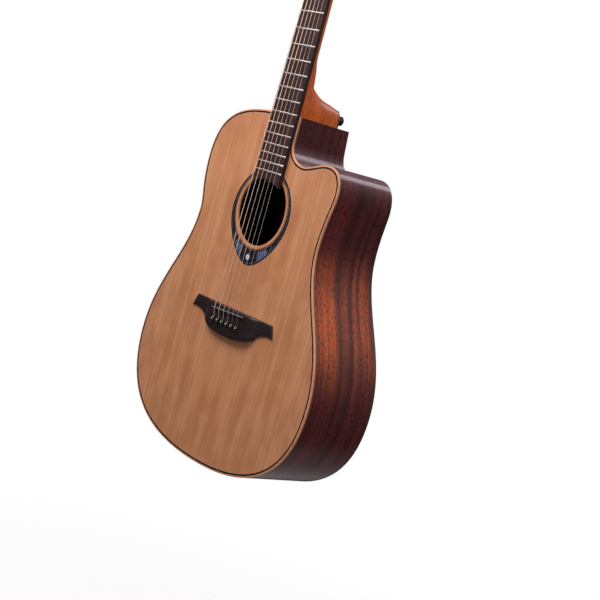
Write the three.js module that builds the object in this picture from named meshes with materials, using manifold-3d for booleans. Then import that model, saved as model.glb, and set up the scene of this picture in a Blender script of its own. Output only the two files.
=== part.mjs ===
// Steel-string acoustic guitar with a cutaway, built the way a luthier builds one: a plate and rib
// sound box with its braces, linings and blocks, a neck with a truss rod, a pinned bridge, six
// strings and six sealed worm-gear tuners. Units are millimetres.
//
// Row frame: +Z runs up the neck, the soundboard faces -Y, and the cutaway is on the +X (treble)
// side. The origin is the centre of the outer face of the end strap button.
// The body frame, used below, has the soundboard's face at y = 0 and the tail of the body at z = 0.

import * as THREE from 'three';
import { mergeVertices } from 'three/addons/utils/BufferGeometryUtils.js';
import Module from 'manifold-3d';

const wasm = await Module();
wasm.setup();

// ---- Driving dimensions ------------------------------------------------------------------------

const GAP = 0.3; // clearance between pieces that touch

// Sound box
const BODY_LENGTH = 515;
const LOWER_BOUT = { x: 204, z: 144.5 };
const WAIST = { bass: 141, treble: 137, z: 350.5 };
const UPPER_BOUT = { x: 153.5, z: 428.5 };
const HORN = { x: 146, z: 424.5, topX: 113, topZ: 461.2 };
const CUTAWAY = { x: 64, z: 450.2, wallX: 29, wallZ: 480.5 };
const BACK_CURVE = [[-20, 115], [0, 117.5], [130, 119], [260, 116], [350, 111], [430, 104], [540, 92.5]];
const TOP_THICK = 2.8;
const BACK_THICK = 2.8;
const SIDE_THICK = 2.2;
const BINDING = 2.4;
const LINING = { width: 5.5, height: 13 };
const NECK_BLOCK = { bass: -40, treble: 26.2, length: 48 };
const TAIL_BLOCK = { halfWidth: 42, length: 22 };

// Sound hole and rosette
const HOLE = { radius: 51.5, z: 375.5 };
const ROSETTE = { innerRadius: 56.3, halfWidth: 65.5, z: 370.5, tipZ: 293, depth: 1.2 };

// Braces
const BRACE = { width: 8, height: 13 };
const X_BRACE = { z: 288, angle: 49, lower: 244, upper: 164 };
const TONE_BARS = { upper: [[82, 196], [-70, 118]], lower: [[104, 150], [-20, 84]] };
const UPPER_BRACE = { z: 435, halfWidth: 130 };
const BRIDGE_PLATE = { thick: 2.5, topZ: 240, topHalf: 45, bottomZ: 205, bottomHalf: 84 };
const BACK_BRACES = [
  { z: 95, half: 170 },
  { z: 190, half: 172 },
  { z: 300, half: 128 },
  { z: 415, half: 124 },
];

// Neck and fretboard
const SCALE = 650;
const FRETS = 20;
const NUT_Z = 876;
const NUT_WIDTH = 43;
const NECK_TAPER = 11 / 325; // growth in width per millimetre from the nut to the body
const NECK_DEPTH = { nut: 12.5, body: 13.5 };
const HEEL_LINE = [
  [13.5, 604], [15, 588], [17.5, 574], [23, 564], [32, 557], [44, 550.5], [56, 546.8], [70, 544.2],
  [85, 540.5],
];
const HEEL_DEPTH = 85;
const HEEL_CAP = 2.7;
const HEEL_HALF = { top: 27.7, cap: 11 };
const BOARD = { front: -7, back: -GAP, endRadius: 48, endZ: 371.5, lowZ: 405 };
const FRET = { width: 2, height: 1 };
const TRUSS_ROD = { halfWidth: 3, front: 2.4, back: 9.5, lowZ: 524, highZ: 884 };
const NUT_THICK = 5;

// Headstock, in a frame tilted back at the nut
const HEAD = { angle: 13, length: 186, thick: 13, veneer: 1.5, neckHalf: 21.5, lowHalf: 29, topHalf: 36.5 };
const POST_ROWS = [42, 84, 126];
const POST_INSET = 10;

// Tuners
const TUNER = {
  boxHalf: 7.5, boxDepth: 9.5, wall: 1.5, boxLow: -7.5, boxHigh: 12.5, bushing: 4.6, flange: 7,
};
const POST = { radius: 3, front: -17, stringY: -9, wheelRadius: 5.2, wheelThick: 4 };
const WORM = { radius: 2.6, shaft: 2.2, offset: 8.1, depth: 4.7 };
const KNOB = { reach: 12.9, length: 14, halfWidth: 8.5, halfThick: 3.9 };

// Bridge, saddle, pins and strings
const BRIDGE = {
  x: 3, topZ: 229, topHalf: 89, tipZ: 210.5, tipHalf: 96.5, bellyZ: 187, thick: 8.7, wing: 4.2,
};
const SADDLE = { halfLength: 37, thick: 2.6, bassZ: 221.3, trebleZ: 224.3, top: -12.2, slot: 5 };
const PIN = { z: 206.5, shank: 2.4, head: 3.8, headHeight: 3.2, tip: 9, flute: 1.7 };
const STRING_RADII = [0.15, 0.2, 0.3, 0.4, 0.53, 0.67]; // string 1 (treble) to string 6 (bass)
const SPREAD = { nut: 36, saddle: 54, pins: 56 };
const NUT_TOP = -7.7;

// Strap buttons
const BUTTON = { height: 12, face: 7, waist: 4.4, base: 6.6, stem: 3, stemLength: 22 };
const HEEL_BUTTON_Z = 527;

const COLOURS = {
  cedar: [0xcd916c, 0.35, 0],
  mahogany: [0x5c2c24, 0.25, 0],
  neckWood: [0xb0602f, 0.3, 0],
  spruce: [0xd9c49a, 0.8, 0],
  rosewood: [0x2d232b, 0.5, 0],
  paleWood: [0xd9a98a, 0.35, 0],
  black: [0x151416, 0.35, 0],
  bone: [0xe9e4d6, 0.4, 0],
  steel: [0xb9bbbe, 0.3, 1],
  bronze: [0xb98a5a, 0.35, 1],
  chrome: [0xd5d7da, 0.15, 1],
};

// ---- Solids ------------------------------------------------------------------------------------

// Six times the volume inside a closed mesh, negative where its faces point inwards.
function signedVolume(positions, faces) {
  const [a, b, c] = [new THREE.Vector3(), new THREE.Vector3(), new THREE.Vector3()];
  let total = 0;
  for (let face = 0; face < faces.length; face += 3) {
    [a, b, c].forEach((corner, index) => corner.fromBufferAttribute(positions, faces[face + index]));
    total += a.dot(b.cross(c));
  }
  return total;
}

// A closed three.js geometry as a boolean solid, with its faces turned outwards.
function toSolid(geometry) {
  const bare = geometry.clone();
  bare.deleteAttribute('normal');
  bare.deleteAttribute('uv');
  const merged = mergeVertices(bare, 1e-4);
  const faces = Array.from(merged.index.array);
  if (signedVolume(merged.attributes.position, faces) < 0) faces.reverse();
  const mesh = new wasm.Mesh({
    numProp: 3,
    vertProperties: new Float32Array(merged.attributes.position.array),
    triVerts: new Uint32Array(faces),
  });
  return new wasm.Manifold(mesh);
}

// A boolean solid as a three.js geometry.
function toGeometry(solid) {
  const mesh = solid.getMesh();
  const geometry = new THREE.BufferGeometry();
  geometry.setAttribute('position', new THREE.BufferAttribute(new Float32Array(mesh.vertProperties), 3));
  geometry.setIndex(new THREE.BufferAttribute(new Uint32Array(mesh.triVerts), 1));
  geometry.computeVertexNormals();
  return geometry;
}

const cut = (first, ...rest) => rest.reduce((left, tool) => left.subtract(tool), first);
const join = (first, ...rest) => rest.reduce((left, tool) => left.add(tool), first);

// An outline carried straight for `depth`, with its two axes and its travel laid along three others.
function extruded(points, depth, first, second, travel) {
  const geometry = new THREE.ExtrudeGeometry(new THREE.Shape(points), { depth, bevelEnabled: false });
  geometry.applyMatrix4(new THREE.Matrix4().makeBasis(first, second, travel));
  return geometry;
}

const ALONG_X = new THREE.Vector3(1, 0, 0);
const ALONG_Y = new THREE.Vector3(0, 1, 0);
const ALONG_Z = new THREE.Vector3(0, 0, 1);

// An outline of Vector2(x, z) carried along y from `front` to `back`.
function platePrism(points, front, back) {
  const geometry = extruded(points, back - front, ALONG_X, ALONG_Z, ALONG_Y.clone().negate());
  geometry.translate(0, back, 0);
  return toSolid(geometry);
}

// An outline of Vector2(y, z) carried along x from `low` to `high`.
function crossPrism(points, low, high) {
  const geometry = extruded(points, high - low, ALONG_Y, ALONG_Z, ALONG_X);
  geometry.translate(low, 0, 0);
  return toSolid(geometry);
}

function box(x0, x1, y0, y1, z0, z1) {
  const geometry = new THREE.BoxGeometry(x1 - x0, y1 - y0, z1 - z0);
  geometry.translate((x0 + x1) / 2, (y0 + y1) / 2, (z0 + z1) / 2);
  return toSolid(geometry);
}

// A solid of revolution about the axis that `turn` lays it on; the profile is [radius, height] pairs.
function turned(profile, turn, place, sides = 16) {
  const points = profile.map(([radius, height]) => new THREE.Vector2(radius, height));
  const geometry = new THREE.LatheGeometry(points, sides);
  turn(geometry);
  geometry.translate(...place);
  return toSolid(geometry);
}

const alongY = (geometry) => geometry;
const downZ = (geometry) => geometry.rotateX(-Math.PI / 2);
const alongX = (geometry) => geometry.rotateZ(-Math.PI / 2);

// A plain round bar on one of those axes, from `low` to `high` along it.
function bar(radius, low, high, turn, place, sides = 16) {
  return turned([[0, low], [radius, low], [radius, high], [0, high]], turn, place, sides);
}

// A closed skin over matching rings of points, with a flat fan on each end ring.
function loft(rings) {
  const sides = rings[0].length;
  const positions = rings.flat().flatMap((point) => [point.x, point.y, point.z]);
  const faces = [];
  for (let ring = 0; ring < rings.length - 1; ring += 1) {
    for (let side = 0; side < sides; side += 1) {
      const next = (side + 1) % sides;
      const [a, b] = [ring * sides + side, ring * sides + next];
      faces.push(a, b, b + sides, a, b + sides, a + sides);
    }
  }
  const last = (rings.length - 1) * sides;
  for (let side = 1; side < sides - 1; side += 1) {
    faces.push(0, side + 1, side, last, last + side, last + side + 1);
  }
  const geometry = new THREE.BufferGeometry();
  geometry.setAttribute('position', new THREE.Float32BufferAttribute(positions, 3));
  geometry.setIndex(faces);
  return geometry;
}

// A round tube through the given points, mitred at each of them.
function tube(points, radius, sides = 6) {
  const rings = points.map((point, index) => {
    const before = points[Math.max(index - 1, 0)];
    const after = points[Math.min(index + 1, points.length - 1)];
    const inward = point.clone().sub(before).normalize();
    const outward = after.clone().sub(point).normalize();
    const along = inward.clone().add(outward).normalize();
    const half = inward.length() && outward.length() ? inward.dot(outward) : 1;
    const stretch = 1 / Math.sqrt((1 + half) / 2);
    const rise = along.clone().cross(ALONG_X).normalize();
    return Array.from({ length: sides }, (_, side) => {
      const angle = (side / sides) * 2 * Math.PI;
      return point.clone()
        .addScaledVector(ALONG_X, radius * Math.cos(angle))
        .addScaledVector(rise, radius * stretch * Math.sin(angle));
    });
  });
  return loft(rings);
}

// ---- Outlines ----------------------------------------------------------------------------------

// The body's outer edge, from the tail round the treble side, the cutaway and the bass side.
function bodyOutline() {
  const shape = new THREE.Shape();
  const { x, z } = LOWER_BOUT;
  const { wallX, wallZ } = CUTAWAY;
  shape.moveTo(0, 0);
  shape.bezierCurveTo(122, 0, x, z - 107, x, z);
  shape.bezierCurveTo(x, z + 86, WAIST.treble, WAIST.z - 71, WAIST.treble, WAIST.z);
  shape.bezierCurveTo(WAIST.treble, WAIST.z + 35, HORN.x, HORN.z - 15, HORN.x, HORN.z);
  shape.bezierCurveTo(HORN.x, HORN.z + 18, HORN.topX + 26, HORN.topZ, HORN.topX, HORN.topZ);
  shape.bezierCurveTo(HORN.topX - 16, HORN.topZ, CUTAWAY.x + 12, CUTAWAY.z, CUTAWAY.x, CUTAWAY.z);
  shape.bezierCurveTo(CUTAWAY.x - 14, CUTAWAY.z, wallX, wallZ - 22, wallX, wallZ);
  shape.lineTo(wallX, BODY_LENGTH);
  shape.lineTo(-wallX, BODY_LENGTH);
  shape.bezierCurveTo(-94, BODY_LENGTH - 2, -UPPER_BOUT.x, UPPER_BOUT.z + 74, -UPPER_BOUT.x, UPPER_BOUT.z);
  shape.bezierCurveTo(-UPPER_BOUT.x, UPPER_BOUT.z - 46, -WAIST.bass, WAIST.z + 18, -WAIST.bass, WAIST.z);
  shape.bezierCurveTo(-WAIST.bass, WAIST.z - 71, -x, z + 86, -x, z);
  shape.bezierCurveTo(-x, z - 107, -122, 0, 0, 0);
  return shape.getPoints(8).slice(0, -1);
}

// The outline moved inwards by `distance`, mitred at its corners.
function inset(points, distance) {
  const count = points.length;
  return points.map((point, index) => {
    const before = points[(index + count - 1) % count];
    const after = points[(index + 1) % count];
    const arriving = point.clone().sub(before).normalize();
    const leaving = after.clone().sub(point).normalize();
    const normal = new THREE.Vector2(-arriving.y - leaving.y, arriving.x + leaving.x).normalize();
    const mitre = Math.sqrt((1 + arriving.dot(leaving)) / 2);
    return point.clone().addScaledVector(normal, distance / mitre);
  });
}

// The drop-shaped edge of the rosette, grown by `margin`.
function rosetteOutline(margin) {
  const half = ROSETTE.halfWidth + margin;
  const tip = ROSETTE.tipZ - margin;
  const shape = new THREE.Shape();
  shape.absarc(0, ROSETTE.z, half, 0, Math.PI, false);
  shape.bezierCurveTo(-half, ROSETTE.z - 38, -24, tip, 0, tip);
  shape.bezierCurveTo(24, tip, half, ROSETTE.z - 38, half, ROSETTE.z);
  return shape.getPoints(10).slice(0, -1);
}

function bridgeOutline() {
  const { topZ, topHalf, tipZ, tipHalf, bellyZ } = BRIDGE;
  const shape = new THREE.Shape();
  shape.moveTo(tipHalf, tipZ);
  shape.lineTo(topHalf, topZ);
  shape.lineTo(-topHalf, topZ);
  shape.lineTo(-tipHalf, tipZ);
  shape.bezierCurveTo(-80, tipZ + 3, -68, tipZ + 1, -58.5, tipZ - 9);
  shape.lineTo(-57.5, tipZ - 13);
  shape.bezierCurveTo(-44, bellyZ + 1, -20, bellyZ, 0, bellyZ);
  shape.bezierCurveTo(20, bellyZ, 44, bellyZ + 1, 57.5, tipZ - 13);
  shape.lineTo(58.5, tipZ - 9);
  shape.bezierCurveTo(68, tipZ + 1, 80, tipZ + 3, tipHalf, tipZ);
  return shape.getPoints(5).slice(0, -1).map((point) => point.add(new THREE.Vector2(BRIDGE.x, 0)));
}

function headOutline() {
  const { length, neckHalf, lowHalf, topHalf } = HEAD;
  const shape = new THREE.Shape();
  shape.moveTo(-neckHalf, 0);
  shape.lineTo(neckHalf, 0);
  shape.bezierCurveTo(neckHalf, 14, lowHalf, 14, lowHalf + 0.4, 32);
  shape.lineTo(topHalf, length - 10);
  shape.bezierCurveTo(22, length - 3, 12, length, 0, length);
  shape.bezierCurveTo(-12, length, -22, length - 3, -topHalf, length - 10);
  shape.lineTo(-lowHalf - 0.4, 32);
  shape.bezierCurveTo(-lowHalf, 14, -neckHalf, 14, -neckHalf, 0);
  return shape.getPoints(4).slice(0, -1);
}

// ---- The back's long curve ---------------------------------------------------------------------

const backKnots = BACK_CURVE.map(([z, depth]) => new THREE.Vector2(z, depth));
const backPoints = new THREE.SplineCurve(backKnots).getPoints(12);

// How deep the sound box is at height z.
function depthAt(z) {
  const index = backPoints.findIndex((point) => point.x > z);
  const [low, high] = [backPoints[index - 1], backPoints[index]];
  return THREE.MathUtils.mapLinear(z, low.x, high.x, low.y, high.y);
}

// The space in front of the back's outer face, less `margin`, from y = `front`.
function spaceUnderBack(margin, front) {
  const edge = backPoints.map((point) => new THREE.Vector2(point.y - margin, point.x));
  const [first, last] = [edge[0], edge[edge.length - 1]];
  edge.push(new THREE.Vector2(front, last.y), new THREE.Vector2(front, first.y));
  return crossPrism(edge, -230, 230);
}

const EDGE = bodyOutline();
const UNDER_TOP = TOP_THICK + GAP;
const UNDER_BACK = BACK_THICK + GAP;
const MAX_DEPTH = 125;
const TAIL_DEPTH = depthAt(0);

// A wall of the body's outline between two insets, in front of the back less `margin`.
function wall(outer, inner, front, margin) {
  const whole = platePrism(inset(EDGE, outer), front, MAX_DEPTH);
  const hollow = platePrism(inset(EDGE, inner), front - 1, MAX_DEPTH + 1);
  return cut(whole, hollow).intersect(spaceUnderBack(margin, front - 1));
}

// ---- Sound box ---------------------------------------------------------------------------------

const pinX = (string) => THREE.MathUtils.lerp(SPREAD.pins / 2, -SPREAD.pins / 2, (string - 1) / 5);
const pinBores = (radius) => join(...STRING_RADII.map((_, index) => (
  bar(radius, -20, 20, alongY, [pinX(index + 1), 0, PIN.z], 8))));

function soundboard() {
  const plate = platePrism(inset(EDGE, BINDING + GAP), 0, TOP_THICK);
  const hole = bar(HOLE.radius, -5, 10, alongY, [0, 0, HOLE.z], 28);
  const channel = cut(
    platePrism(rosetteOutline(GAP), -1, ROSETTE.depth + GAP),
    bar(ROSETTE.innerRadius - GAP, -5, 10, alongY, [0, 0, HOLE.z], 28),
  );
  return cut(plate, hole, channel, pinBores(PIN.shank + GAP));
}

function rosette() {
  const inner = bar(ROSETTE.innerRadius, -5, 10, alongY, [0, 0, HOLE.z], 28);
  return cut(platePrism(rosetteOutline(0), 0, ROSETTE.depth), inner);
}

function backPlate() {
  const plate = platePrism(inset(EDGE, BINDING + GAP), 60, MAX_DEPTH).intersect(spaceUnderBack(0, 60));
  return cut(plate, spaceUnderBack(BACK_THICK, 50));
}

function backBinding() {
  return cut(wall(0, BINDING, 60, 0), spaceUnderBack(BACK_THICK, 50));
}

const topBinding = () => cut(
  platePrism(EDGE, 0, TOP_THICK),
  platePrism(inset(EDGE, BINDING), -1, TOP_THICK + 1),
);

const buttonBore = () => bar(BUTTON.stem + GAP, -40, 5, downZ, [0, TAIL_DEPTH / 2, 0], 12);

function side(low, high) {
  const half = wall(0, SIDE_THICK, UNDER_TOP, UNDER_BACK).intersect(box(low, high, 0, MAX_DEPTH, -10, 600));
  return cut(half, buttonBore());
}

const blockSpace = () => box(
  NECK_BLOCK.bass - GAP, 60, 0, MAX_DEPTH,
  BODY_LENGTH - NECK_BLOCK.length - SIDE_THICK - 2 * GAP, 600,
);

function topLining() {
  const outer = SIDE_THICK + GAP;
  const ring = cut(
    platePrism(inset(EDGE, outer), UNDER_TOP, UNDER_TOP + LINING.height),
    platePrism(inset(EDGE, outer + LINING.width), 0, 60),
  );
  return cut(ring, blockSpace());
}

function backLining() {
  const outer = SIDE_THICK + GAP;
  const ring = wall(outer, outer + LINING.width, 60, UNDER_BACK);
  return cut(ring, spaceUnderBack(UNDER_BACK + LINING.height, 50), blockSpace());
}

function neckBlock() {
  const inside = platePrism(inset(EDGE, SIDE_THICK + GAP), UNDER_TOP, MAX_DEPTH);
  const low = BODY_LENGTH - SIDE_THICK - GAP - NECK_BLOCK.length;
  const block = box(NECK_BLOCK.bass, NECK_BLOCK.treble, UNDER_TOP, MAX_DEPTH, low, BODY_LENGTH);
  return inside.intersect(block).intersect(spaceUnderBack(UNDER_BACK, 0));
}

function tailBlock() {
  const liningDepth = UNDER_TOP + LINING.height + GAP;
  const inside = platePrism(inset(EDGE, SIDE_THICK + GAP), liningDepth, MAX_DEPTH);
  const { halfWidth, length } = TAIL_BLOCK;
  const block = box(-halfWidth, halfWidth, liningDepth, MAX_DEPTH, 0, SIDE_THICK + length);
  const bore = buttonBore();
  return cut(inside.intersect(block).intersect(spaceUnderBack(UNDER_BACK + LINING.height + GAP, 0)), bore);
}

// ---- Braces ------------------------------------------------------------------------------------

// A bar under the soundboard from [x, z] to [x, z], with its inner edge rounded over.
function topBrace([x0, z0], [x1, z1], width = BRACE.width, height = BRACE.height) {
  const length = Math.hypot(x1 - x0, z1 - z0);
  const section = [[-width / 2, 0], [width / 2, 0], [width / 2, height - 4], [width / 4, height],
    [-width / 4, height], [-width / 2, height - 4]].map(([a, b]) => new THREE.Vector2(a, b));
  const along = new THREE.Vector3(x1 - x0, 0, z1 - z0).normalize();
  const geometry = extruded(section, length, ALONG_Y.clone().cross(along), ALONG_Y, along);
  geometry.translate(x0, UNDER_TOP, z0);
  return toSolid(geometry);
}

function xBrace() {
  const { z, angle, lower, upper } = X_BRACE;
  const turn = THREE.MathUtils.degToRad(angle);
  const [sin, cos] = [Math.sin(turn), Math.cos(turn)];
  const low = z - lower * cos;
  const high = z + upper * cos;
  return join(
    topBrace([-lower * sin, low], [upper * sin, high]),
    topBrace([lower * sin, low], [-upper * sin, high]),
  );
}

function upperBrace() {
  const { z, halfWidth } = UPPER_BRACE;
  return topBrace([-halfWidth, z], [halfWidth, z]);
}

function bridgePlate() {
  const { thick, topZ, topHalf, bottomZ, bottomHalf } = BRIDGE_PLATE;
  const corners = [[-bottomHalf, bottomZ], [bottomHalf, bottomZ], [topHalf, topZ], [-topHalf, topZ]];
  const plate = platePrism(corners.map(([x, z]) => new THREE.Vector2(x, z)), UNDER_TOP, UNDER_TOP + thick);
  return cut(plate, pinBores(PIN.shank + GAP));
}

function backBrace({ z, half }) {
  const back = Math.min(depthAt(z - 6), depthAt(z + 6)) - UNDER_BACK - GAP;
  const width = BRACE.width;
  return join(
    box(-half, half, back - BRACE.height + 4, back, z - width / 2, z + width / 2),
    box(-half + 6, half - 6, back - BRACE.height, back - BRACE.height + 5, z - width / 4, z + width / 4),
  );
}

// ---- Neck --------------------------------------------------------------------------------------

const neckHalf = (z) => (NUT_WIDTH + (NUT_Z - z) * NECK_TAPER) / 2;

// A rounded D from (half, 0) over (0, reach) to (-half, 0).
function roundedD(half, reach, power) {
  const steps = 8;
  return Array.from({ length: steps + 1 }, (_, index) => {
    const angle = (index / steps) * Math.PI;
    const cosine = Math.cos(angle);
    return [half * Math.sign(cosine) * Math.abs(cosine) ** power, reach * Math.sin(angle) ** power];
  });
}

function neckShaft() {
  const stations = [BODY_LENGTH + GAP, 640, NUT_Z - 16, NUT_Z + NUT_THICK];
  const rings = stations.map((z) => {
    const share = THREE.MathUtils.clamp((z - 640) / (NUT_Z - 16 - 640), 0, 1);
    const depth = THREE.MathUtils.lerp(NECK_DEPTH.body, NECK_DEPTH.nut, share);
    return roundedD(neckHalf(z), depth, 0.8).map(([x, y]) => new THREE.Vector3(x, y, z));
  });
  return toSolid(loft(rings));
}

function heel() {
  const base = BODY_LENGTH + GAP;
  const lines = [[0, HEEL_LINE[0][1]], ...HEEL_LINE];
  const rings = lines.map(([y, nose]) => {
    const half = THREE.MathUtils.lerp(HEEL_HALF.top, HEEL_HALF.cap, (y / HEEL_DEPTH) ** 1.3) - 0.2;
    const ring = roundedD(half, nose - base, 0.75);
    return ring.map(([x, rise]) => new THREE.Vector3(x, y, base + rise)).reverse();
  });
  return toSolid(loft(rings)).intersect(box(-40, 40, 0, HEEL_DEPTH, base, 620));
}

function heelCap() {
  const [, nose] = HEEL_LINE[HEEL_LINE.length - 1];
  const base = BODY_LENGTH + GAP;
  const ring = roundedD(HEEL_HALF.cap - 0.2, nose - base, 0.75);
  const points = ring.map(([x, rise]) => new THREE.Vector2(x, base + rise));
  const cap = platePrism(points, HEEL_DEPTH + GAP, HEEL_DEPTH + HEEL_CAP);
  return cut(cap, bar(BUTTON.stem + GAP, 0, 100, alongY, [0, 0, HEEL_BUTTON_Z], 12));
}

// The headstock's own frame stands on the nut's far edge and leans back.
const headFrame = new THREE.Matrix4()
  .makeRotationX(-THREE.MathUtils.degToRad(HEAD.angle))
  .setPosition(0, 0, NUT_Z + NUT_THICK);

const headHalf = (z) => (
  THREE.MathUtils.mapLinear(z, 32, HEAD.length - 10, HEAD.lowHalf + 0.4, HEAD.topHalf));
const HEAD_FRONT = HEAD.veneer + GAP;
const HEAD_BACK = HEAD_FRONT + HEAD.thick;

// Where each tuner's post stands in the headstock's frame: strings 1 to 3 treble, 6 to 4 bass.
const posts = STRING_RADII.map((_, index) => {
  const number = index + 1;
  const side = number <= 3 ? 1 : -1;
  const z = POST_ROWS[Math.min(index, 5 - index)];
  return { number, side, z, x: side * (headHalf(z) - POST_INSET) };
});

const postBores = (radius) => join(...posts.map(({ x, z }) => (
  bar(radius, -20, 40, alongY, [x, 0, z], 10))));

function neck() {
  const blank = headOutline().map((point) => (point.y === 0 ? new THREE.Vector2(point.x, -6) : point));
  const head = cut(platePrism(blank, HEAD_FRONT, HEAD_BACK), postBores(TUNER.bushing + GAP));
  const { halfWidth, back, lowZ, highZ } = TRUSS_ROD;
  const channel = box(-halfWidth - GAP, halfWidth + GAP, -2, back + GAP, lowZ - GAP, highZ + 6);
  const bottom = HEEL_DEPTH - BUTTON.stemLength - GAP;
  const buttonHole = bar(BUTTON.stem + GAP, bottom, 100, alongY, [0, 0, HEEL_BUTTON_Z], 12);
  const wood = join(neckShaft(), heel(), head.transform(headFrame.elements));
  return cut(wood, channel, buttonHole);
}

function headVeneer() {
  const plate = platePrism(headOutline(), 0, HEAD.veneer);
  const pocket = box(-TRUSS_ROD.halfWidth - 2, TRUSS_ROD.halfWidth + 2, -5, 5, 2, 16);
  const trimmed = plate.intersect(box(-50, 50, -1, 5, 3 * GAP, 300));
  return cut(trimmed, pocket, postBores(TUNER.bushing + GAP));
}

function fretboard() {
  const { front, back, endRadius, endZ, lowZ } = BOARD;
  const section = (z, crown, low, high) => {
    const half = neckHalf(z);
    const bow = [1, 0, -1].map((share) => [share * half, high - crown * (1 - share * share)]);
    return [[-half, low], [half, low], ...bow].map(([x, y]) => new THREE.Vector3(x, y, z));
  };
  const ends = [section(lowZ, 0.6, back, front + 0.6), section(NUT_Z, 0.4, back, front + 0.6)];
  const board = toSolid(loft(ends));
  const frets = Array.from({ length: FRETS }, (_, index) => {
    const z = NUT_Z - SCALE * (1 - 2 ** (-(index + 1) / 12));
    const edges = [z - FRET.width / 2, z + FRET.width / 2];
    return toSolid(loft(edges.map((edge) => section(edge, 0.6, front + 1.5, front + 0.6 - FRET.height))));
  });
  return cut(join(board, ...frets), bar(endRadius, -30, 30, alongY, [0, 0, endZ], 64));
}

const trussRod = () => {
  const { halfWidth, front, back, lowZ, highZ } = TRUSS_ROD;
  return box(-halfWidth, halfWidth, front, back, lowZ, highZ);
};

function nut() {
  const half = NUT_WIDTH / 2;
  return box(-half, half, NUT_TOP, -GAP, NUT_Z + GAP, NUT_Z + NUT_THICK - 0.1);
}

// ---- Bridge and strings ------------------------------------------------------------------------

const saddleZ = (x) => (
  THREE.MathUtils.mapLinear(x, -SADDLE.halfLength, SADDLE.halfLength, SADDLE.bassZ, SADDLE.trebleZ));

function saddleSlab(margin, front, back) {
  const half = SADDLE.thick / 2 + margin;
  const reach = SADDLE.halfLength + margin;
  const corners = [[-reach, -half], [reach, -half], [reach, half], [-reach, half]];
  return platePrism(corners.map(([x, dz]) => new THREE.Vector2(x, saddleZ(x) + dz)), front, back);
}

function bridge() {
  const { x, thick, wing, tipHalf } = BRIDGE;
  const slab = platePrism(bridgeOutline(), -thick - GAP, -GAP);
  const profile = [
    [-tipHalf, wing], [-70, wing + 0.6], [-57, thick], [57, thick],
    [70, wing + 0.6], [tipHalf, wing], [tipHalf, 0], [-tipHalf, 0],
  ];
  const ends = [170, 240].map((z) => profile.map(([a, b]) => new THREE.Vector3(a + x, -GAP - b, z)));
  const envelope = toSolid(loft(ends));
  const slot = saddleSlab(GAP, -20, -GAP - thick + SADDLE.slot + GAP);
  return cut(slab.intersect(envelope), slot, pinBores(PIN.shank + GAP));
}

const saddle = () => saddleSlab(0, SADDLE.top, -GAP - BRIDGE.thick + SADDLE.slot);

function bridgePin(string) {
  const seat = -GAP - BRIDGE.thick - GAP;
  const [x, radius] = [pinX(string), STRING_RADII[string - 1] + GAP];
  const profile = [[0, PIN.tip], [1.8, PIN.tip], [PIN.shank, seat + 2], [PIN.shank, seat], [PIN.head, seat],
    [PIN.head, seat - 1.4], [2.6, seat - PIN.headHeight], [0, seat - PIN.headHeight]];
  const body = turned(profile, alongY, [x, 0, PIN.z], 8);
  const groove = bar(radius, -30, 30, alongY, [x, 0, PIN.z + PIN.flute], 8);
  const mouth = box(x - radius, x + radius, -30, 30, PIN.z + PIN.flute, PIN.z + 10);
  return cut(body, groove, mouth);
}

// From its anchor under the bridge plate, over the saddle and the nut, to its post.
function stringRoute(string) {
  const radius = STRING_RADII[string - 1];
  const share = (string - 1) / 5;
  const { x: postX, z: postZ, side: sideSign } = posts[string - 1];
  const saddleX = THREE.MathUtils.lerp(SPREAD.saddle / 2, -SPREAD.saddle / 2, share);
  const nutX = THREE.MathUtils.lerp(SPREAD.nut / 2, -SPREAD.nut / 2, share);
  const under = UNDER_TOP + BRIDGE_PLATE.thick + 4;
  const surface = -GAP - BRIDGE.thick;
  const end = new THREE.Vector3(postX - sideSign * (POST.radius + GAP + radius), POST.stringY, postZ);
  return [
    new THREE.Vector3(pinX(string), under, PIN.z + PIN.flute),
    new THREE.Vector3(pinX(string), surface - 0.6, PIN.z + PIN.flute),
    new THREE.Vector3(saddleX, SADDLE.top - GAP - radius, saddleZ(saddleX) - 0.4),
    new THREE.Vector3(nutX, NUT_TOP - GAP - radius, NUT_Z + NUT_THICK),
    end.applyMatrix4(headFrame),
  ];
}

const guitarString = (string) => toSolid(tube(stringRoute(string), STRING_RADII[string - 1]));

// ---- Hardware ----------------------------------------------------------------------------------

// A strap button whose base rests at height 0 and whose face is at BUTTON.height.
function strapButton(turn, place) {
  const { height, face, waist, base, stem, stemLength } = BUTTON;
  const profile = [[0, -stemLength], [stem, -stemLength], [stem, GAP], [base, GAP], [base, 2], [waist, 4.5],
    [waist, height - 4.5], [face, height - 2.4], [face, height], [0, height]];
  return turned(profile, turn, place, 12);
}

const tunerBottom = HEAD_BACK + GAP;
const wormY = tunerBottom + WORM.depth;

// The case behind the headstock with its bushing, which runs forward through the headstock.
function tunerHousing({ x, z, side: sideSign }) {
  const { boxHalf, boxDepth, wall: thick, boxLow, boxHigh, bushing, flange } = TUNER;
  const back = tunerBottom + boxDepth;
  const shell = box(x - boxHalf, x + boxHalf, tunerBottom, back, z + boxLow, z + boxHigh);
  const cavity = box(
    x - boxHalf + thick, x + boxHalf - thick, tunerBottom + thick, back - thick,
    z + boxLow + thick, z + boxHigh - thick,
  );
  const profile = [
    [0, -4], [5.2, -4], [5.2, -1.8], [flange, -1.8],
    [flange, -GAP], [bushing, -GAP], [bushing, 16], [0, 16],
  ];
  const sleeve = turned(profile, alongY, [x, 0, z], 10);
  const bore = bar(POST.radius + GAP, -30, tunerBottom + 3, alongY, [x, 0, z], 10);
  const [low, high] = sideSign > 0 ? [0, 20] : [-20, 0];
  const shaftHole = bar(WORM.shaft + GAP, low, high, alongX, [x, wormY, z + WORM.offset], 8);
  return cut(join(shell, sleeve), cavity, bore, shaftHole);
}

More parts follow.
